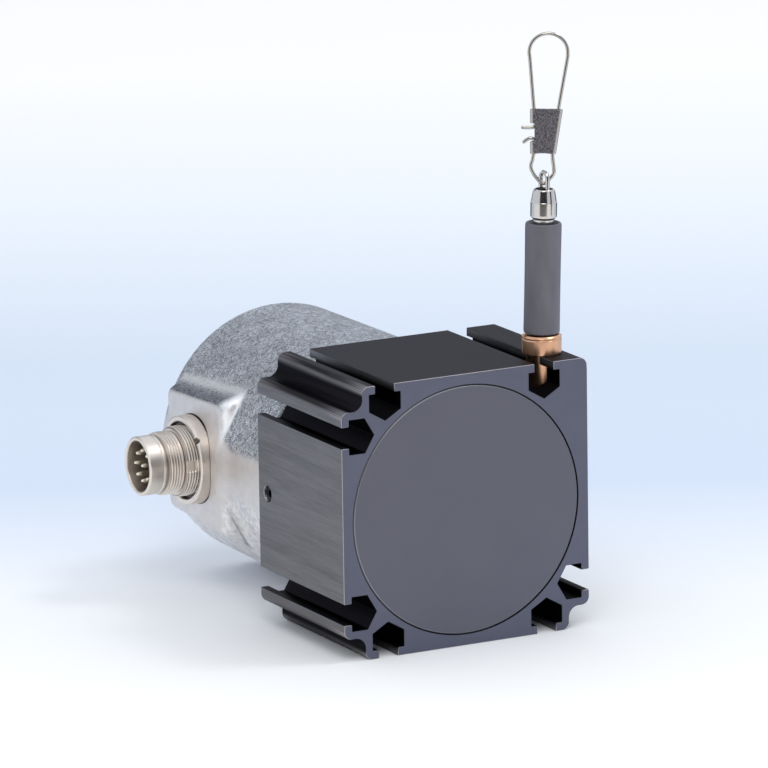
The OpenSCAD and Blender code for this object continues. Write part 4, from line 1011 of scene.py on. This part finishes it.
# %% The hook's own directions
HOOK_ACROSS = np.array(JOINTS["hook_tilt"]["axis"]) / np.linalg.norm(JOINTS["hook_tilt"]["axis"])
HOOK_THROUGH = np.cross(END_AXIS, HOOK_ACROSS)
CLASP_LOW, CLASP_TOP = reach("snap_clasp")
EYE_TOP = reach("swivel_eye")[1]
HALF = 3.15
SMALL_LOOP, CLASP_TALL = 7.4, CLASP_TOP - CLASP_LOW
LOOP_R, LOOP_TALL = 4.7, 14.0
HOOK_WIRE_R = 0.43


def on_hook(across, along):
    """Places across the hook and along the leaning axis, in millimetres."""
    return END_POINT + np.outer(across, HOOK_ACROSS) + np.outer(along, END_AXIS)


print("clasp from", round(CLASP_LOW, 2), "to", round(CLASP_TOP, 2), "from the barrel's top")


# %% The eye
def bow(x, z, r, start, end, count):
    """Points on an arc about (x, z), from angle start to end in degrees."""
    a = np.radians(np.linspace(start, end, count))
    return np.stack([x + r * np.cos(a), z + r * np.sin(a)], -1)


def eye():
    """Two legs and half a turn, upright across the swivel's axis."""
    r, leg, wire_r = 1.65, 5.0, 0.55
    crown = EYE_TOP - r - wire_r
    side = np.array([0.0, 1.0, 0.0])
    path = np.concatenate([[[r, crown - leg], [r, crown - leg / 2]], bow(0, crown, r, 0, 180, 15),
                           [[-r, crown - leg / 2], [-r, crown - leg]]])
    path = through(path, 4)
    points = END_POINT + np.outer(path[:, 0], side) + np.outer(path[:, 1], END_AXIS)
    return wire("eye", points, wire_r, np.cross(side, END_AXIS), "swivel_chrome", "swivel", 20)


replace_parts(eye(), "swivel_eye")


# %% The snap hook's wire
def shares(places, tall, foot):
    """Places given as shares of the clasp's half width and of a height, above a foot."""
    return np.array(places) * (HALF, tall) + (0, foot)


def hook_wire():
    """From the end in the clasp down, round the small loop, up past the clasp, round the large
    loop and back into the clasp."""
    foot = CLASP_LOW - SMALL_LOOP
    top = CLASP_TOP + LOOP_TALL
    clasp_span, loop_span = (CLASP_TALL, CLASP_LOW), (SMALL_LOOP, foot)
    low_end = shares([(-1.683, 0.245), (-1.397, 0.309), (-1.143, 0.345), (-0.889, 0.327),
                      (-0.778, 0.255), (-0.825, 0.055)], *clasp_span)
    down = shares([(-0.937, 0.784), (-1.048, 0.622), (-1.016, 0.473), (-0.794, 0.297),
                   (-0.508, 0.142), (-0.286, 0.047)], *loop_span)
    up = shares([(0.19, 0.047), (0.381, 0.128), (0.619, 0.257), (0.746, 0.378),
                 (0.73, 0.527)], *loop_span)
    past_clasp = shares([(0.603, 0), (0.762, 0.364), (1, 1)], *clasp_span)
    high_end = shares([(-0.889, 1), (-0.778, 0.727), (-0.81, 0.627), (-1.016, 0.586),
                       (-1.81, 0.582)], *clasp_span)
    bend = 0.19 * HALF
    path = through(np.concatenate([
        low_end, down, bow(-0.08 * HALF, foot + bend, bend, 240, 300, 3), up, past_clasp,
        [[LOOP_R + 0.11 * HALF, top - 0.4 * LOOP_R]], bow(0.16 * HALF, top, LOOP_R, -6, 186, 16),
        [[-LOOP_R + 0.24 * HALF, top - 0.4 * LOOP_R]], high_end]), 6)
    return wire("hook_wire", on_hook(path[:, 0], path[:, 1]), HOOK_WIRE_R, HOOK_THROUGH,
                "nickel_wire", "hook", 16)


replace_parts(hook_wire(), "snap_wire")

# %% [markdown]
# ## The clasp
# A strip of spring sheet is folded round both wires: a flat front, a flat back and two round
# folds, wider at its head than at its foot. One fold is cut away where the wire's ends come
# out. The grid is the sheet's middle layer, the cut leaves squares out, and a Solidify modifier
# gives the sheet its thickness.

# %% Fold the clasp
CUT = (3.0, 7.6)


def clasp():
    """half and middle give each row its width and its place across; the front and the back sag
    by 0.22 * (1 - u^2) at the foot, u being -1 and 1 at the folds."""
    wall, inner = 0.35, 0.51
    deep = inner + wall / 2
    arc = np.radians(np.linspace(-90, 90, 9))
    right = np.stack([np.cos(arc) * deep, np.sin(arc) * deep], -1)
    around = np.linspace(-1, 1, 25)[1:-1]
    rows = stations((0, CUT[0] - 0.1, 8), (*CUT, 13), (CUT[1] + 0.1, CLASP_TALL, 9))
    share = (rows / CLASP_TALL)[:, None]
    half = HALF + 0.85 * share - wall / 2 - deep
    middle = -0.4 + 0.65 * share
    sag = 0.22 * (1 - around ** 2)[None, :] * np.clip(1 - share * 6, 0, 1)
    straight = np.broadcast_to(around[None, :] * half, (len(rows), len(around)))
    across = np.concatenate([half + right[:, 0], straight[:, ::-1], -half - right[::-1, 0][None, :],
                             straight], axis=1) + middle
    depth = np.concatenate([right[:, 1], np.full(len(around), deep), right[::-1, 1],
                            np.full(len(around), -deep)])[None, :] + 0 * across
    along = rows[:, None] + 0 * across
    along[:, len(right):len(right) + len(around)] += sag
    along[:, 2 * len(right) + len(around):] += sag
    grid = on_hook(across.ravel(), (CLASP_LOW + along).ravel())
    grid += np.outer(depth.ravel(), HOOK_THROUGH)
    squares = squares_of(*across.shape)
    first, uncut = len(right) + len(around) - 1, np.ones(squares.shape[:2], bool)
    uncut[slice(*np.searchsorted(rows, CUT)), first:first + len(right) + 1] = False
    piece = build("clasp", grid, [squares[uncut]], "sheet_steel", "hook", 50)
    flat = np.abs(depth) > deep * 0.9
    # the folds, outside this mask, get a painted highlight in the finish
    paint(piece, "plate", (ramp(np.abs(across - middle) - half, 0.15, 0) * flat).ravel())
    sheet = piece.modifiers.new("sheet", "SOLIDIFY")
    sheet.thickness, sheet.offset, sheet.use_even_offset = wall * MM, 0, True
    edge = piece.modifiers.new("edge", "BEVEL")
    edge.width, edge.segments, edge.angle_limit = 0.07 * MM, 2, math.radians(50)
    return piece


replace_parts(clasp(), "snap_clasp")

# %% [markdown]
# ## The studio
# A long lens from far away keeps the edges of the body nearly parallel. The floor is nearly white,
# with a pale blue band behind the object, and takes the shadow.

# %% Camera
def direction(azimuth, elevation):
    """Out from the object: azimuth 0 is the front and 90 the right, elevation 90 is up."""
    a, e = math.radians(azimuth), math.radians(elevation)
    return np.array([math.sin(a) * math.cos(e), -math.cos(a) * math.cos(e), math.sin(e)])


def camera(azimuth, elevation, roll, distance, aim, lens):
    """Looks at aim from a distance; the roll turns the picture about the line of sight."""
    back, r = direction(azimuth, elevation), math.radians(roll)
    level = np.cross(-back, (0, 0, 1))
    level /= np.linalg.norm(level)
    rise = np.cross(level, -back)
    right = math.cos(r) * level + math.sin(r) * rise
    up = -math.sin(r) * level + math.cos(r) * rise
    made = bpy.data.cameras.new("camera")
    made.lens, made.sensor_width = lens, 36.0
    made.clip_start, made.clip_end = 0.1, 50.0
    holder = bpy.data.objects.new("camera", made)
    place = np.eye(4)
    place[:3, 0], place[:3, 1], place[:3, 2] = right, up, back
    place[:3, 3] = (np.array(aim) + back * distance) * MM
    holder.matrix_world = Matrix(place.tolist())
    bpy.context.scene.collection.objects.link(holder)
    bpy.context.scene.camera = holder
    print("camera", distance, "mm away with a lens of", lens, "mm")


CAMERA_AZIMUTH = -27.8744
camera(CAMERA_AZIMUTH, elevation=13.1605, roll=-0.8851, distance=1941.29,
       aim=(0.213, 20.209, 56.967), lens=368.03)


# %% Floor
AWAY = -direction(CAMERA_AZIMUTH, 0)


def flat_panel(name, corners, material):
    """One four-sided face, as part of the stage."""
    mesh = bpy.data.meshes.new(name)
    mesh.from_pydata((np.array(corners, float) * MM).tolist(), [], [(0, 1, 2, 3)])
    mesh.materials.append(material)
    panel = bpy.data.objects.new(name, mesh)
    bpy.context.scene.collection.objects.link(panel)
    print(name, "placed")
    return panel


def floor():
    """White paper with a pale blue band behind the object: the colour depends on how far the
    floor lies away from the camera, which is x*sin + y*cos of the camera's heading."""
    f = Finish("pale_floor", Roughness=0.95)
    far = (f.place("x") * AWAY[0] + f.place("y") * AWAY[1] + 400) * (1 / 1400)
    paper = f.node("ShaderNodeValToRGB", {"stops": [
        (0.22, (0.99, 0.99, 0.99)), (0.31, (0.88, 0.92, 0.98)), (0.39, (0.64, 0.73, 0.89)),
        (0.50, (0.65, 0.74, 0.88)), (0.66, (0.85, 0.90, 0.97)), (0.80, (0.99, 0.99, 1.0))]},
        {"Fac": far})
    f.set(Base_Color=paper)
    wide = 4000
    flat_panel("floor", [(-wide, -wide, 0), (wide, -wide, 0), (wide, wide, 0), (-wide, wide, 0)],
               f.material)


floor()

# %% [markdown]
# ## Light
# The room is bright and even, and metal mirrors it, so it would look flat. Lamps and cards give it
# shape, as in a real studio. A large soft key lamp stands high at the front left and a small edge
# lamp high on the right. Four dark cards are seen in reflections only: one in the direction of the
# camera and one to its right put dark bands into polished metal, a low one behind draws the
# outlines of round pieces, and a large high one behind darkens what faces up and away.

# %% Room
def room(seen, light, strength):
    """One colour for what the camera, mirrors and glass see, another for the light itself."""
    world = bpy.data.worlds.new("room")
    bpy.context.scene.world = world
    world.use_nodes = True
    tree = world.node_tree
    tree.nodes.clear()
    made = {key: tree.nodes.new("ShaderNode" + kind) for key, kind in {
        "out": "OutputWorld", "seen": "Background", "lit": "Background", "path": "LightPath",
        "either": "Math", "any": "Math", "mix": "MixShader"}.items()}
    made["seen"].inputs["Color"].default_value = (*seen, 1)
    made["lit"].inputs["Color"].default_value = (*light, 1)
    made["lit"].inputs["Strength"].default_value = strength
    made["either"].operation = made["any"].operation = "MAXIMUM"
    path = made["path"].outputs
    for source, target in [
            (path["Is Camera Ray"], made["either"].inputs[0]),
            (path["Is Glossy Ray"], made["either"].inputs[1]),
            (made["either"].outputs[0], made["any"].inputs[0]),
            (path["Is Transmission Ray"], made["any"].inputs[1]),
            (made["any"].outputs[0], made["mix"].inputs[0]),
            (made["lit"].outputs[0], made["mix"].inputs[1]),
            (made["seen"].outputs[0], made["mix"].inputs[2]),
            (made["mix"].outputs[0], made["out"].inputs["Surface"])]:
        tree.links.new(source, target)
    print("room lit at", strength)


room((0.80, 0.86, 0.95), (0.96, 0.98, 1.0), 0.90)


# %% Lamps
def lamp(name, place, size, power):
    """A square soft lamp of warm white, placed in millimetres and turned to the object."""
    aim = (0, 20, 60)
    light = bpy.data.lights.new(name, "AREA")
    light.shape, light.size, light.size_y = "RECTANGLE", size * MM, size * MM
    light.energy, light.color = power, (1.0, 0.98, 0.96)
    holder = bpy.data.objects.new(name, light)
    holder.location = Vector(place) * MM
    holder.rotation_euler = (Vector(aim) - Vector(place)).to_track_quat("-Z", "Y").to_euler()
    bpy.context.scene.collection.objects.link(holder)
    print(name, "lamp of", power, "W")


lamp("key", (-500, -900, 1300), 700, 5)
lamp("edge", (700, -350, 1350), 300, 3)


# %% Dark cards
def dark_card(name, aim, azimuth, elevation, distance, size, grey):
    """A card square to the line from the aim, that way and that far off; only reflections see
    it. Its corners lie half its width to each side and half its height up and down."""
    out, side = direction(azimuth, elevation), direction(azimuth + 90, 0)
    rise = np.cross(out, -side)
    middle = np.array(aim) + out * distance
    corners = [middle + side * u * size[0] / 2 + rise * v * size[1] / 2
               for u, v in ((-1, -1), (1, -1), (1, 1), (-1, 1))]
    card = flat_panel(name, corners, Finish(name, Base_Color=(grey, grey, grey, 1),
                                            Roughness=1.0, Specular_IOR_Level=0.0).material)
    card.visible_camera = card.visible_diffuse = card.visible_shadow = False
    card.visible_transmission = False


SWIVEL = (WIRE_X, WIRE_Y, 112)
dark_card("card_front", SWIVEL, -32, 12, 220, (300, 224), 0.05)
dark_card("card_side", SWIVEL, 41, 12, 220, (60, 224), 0.0)
dark_card("card_outline", SWIVEL, 152, -13, 250, (520, 60), 0.03)
dark_card("card_behind", (0, 50, 60), 187, 30, 1400, (1100, 600), 0.10)
bpy.context.scene.view_settings.view_transform = "Standard"
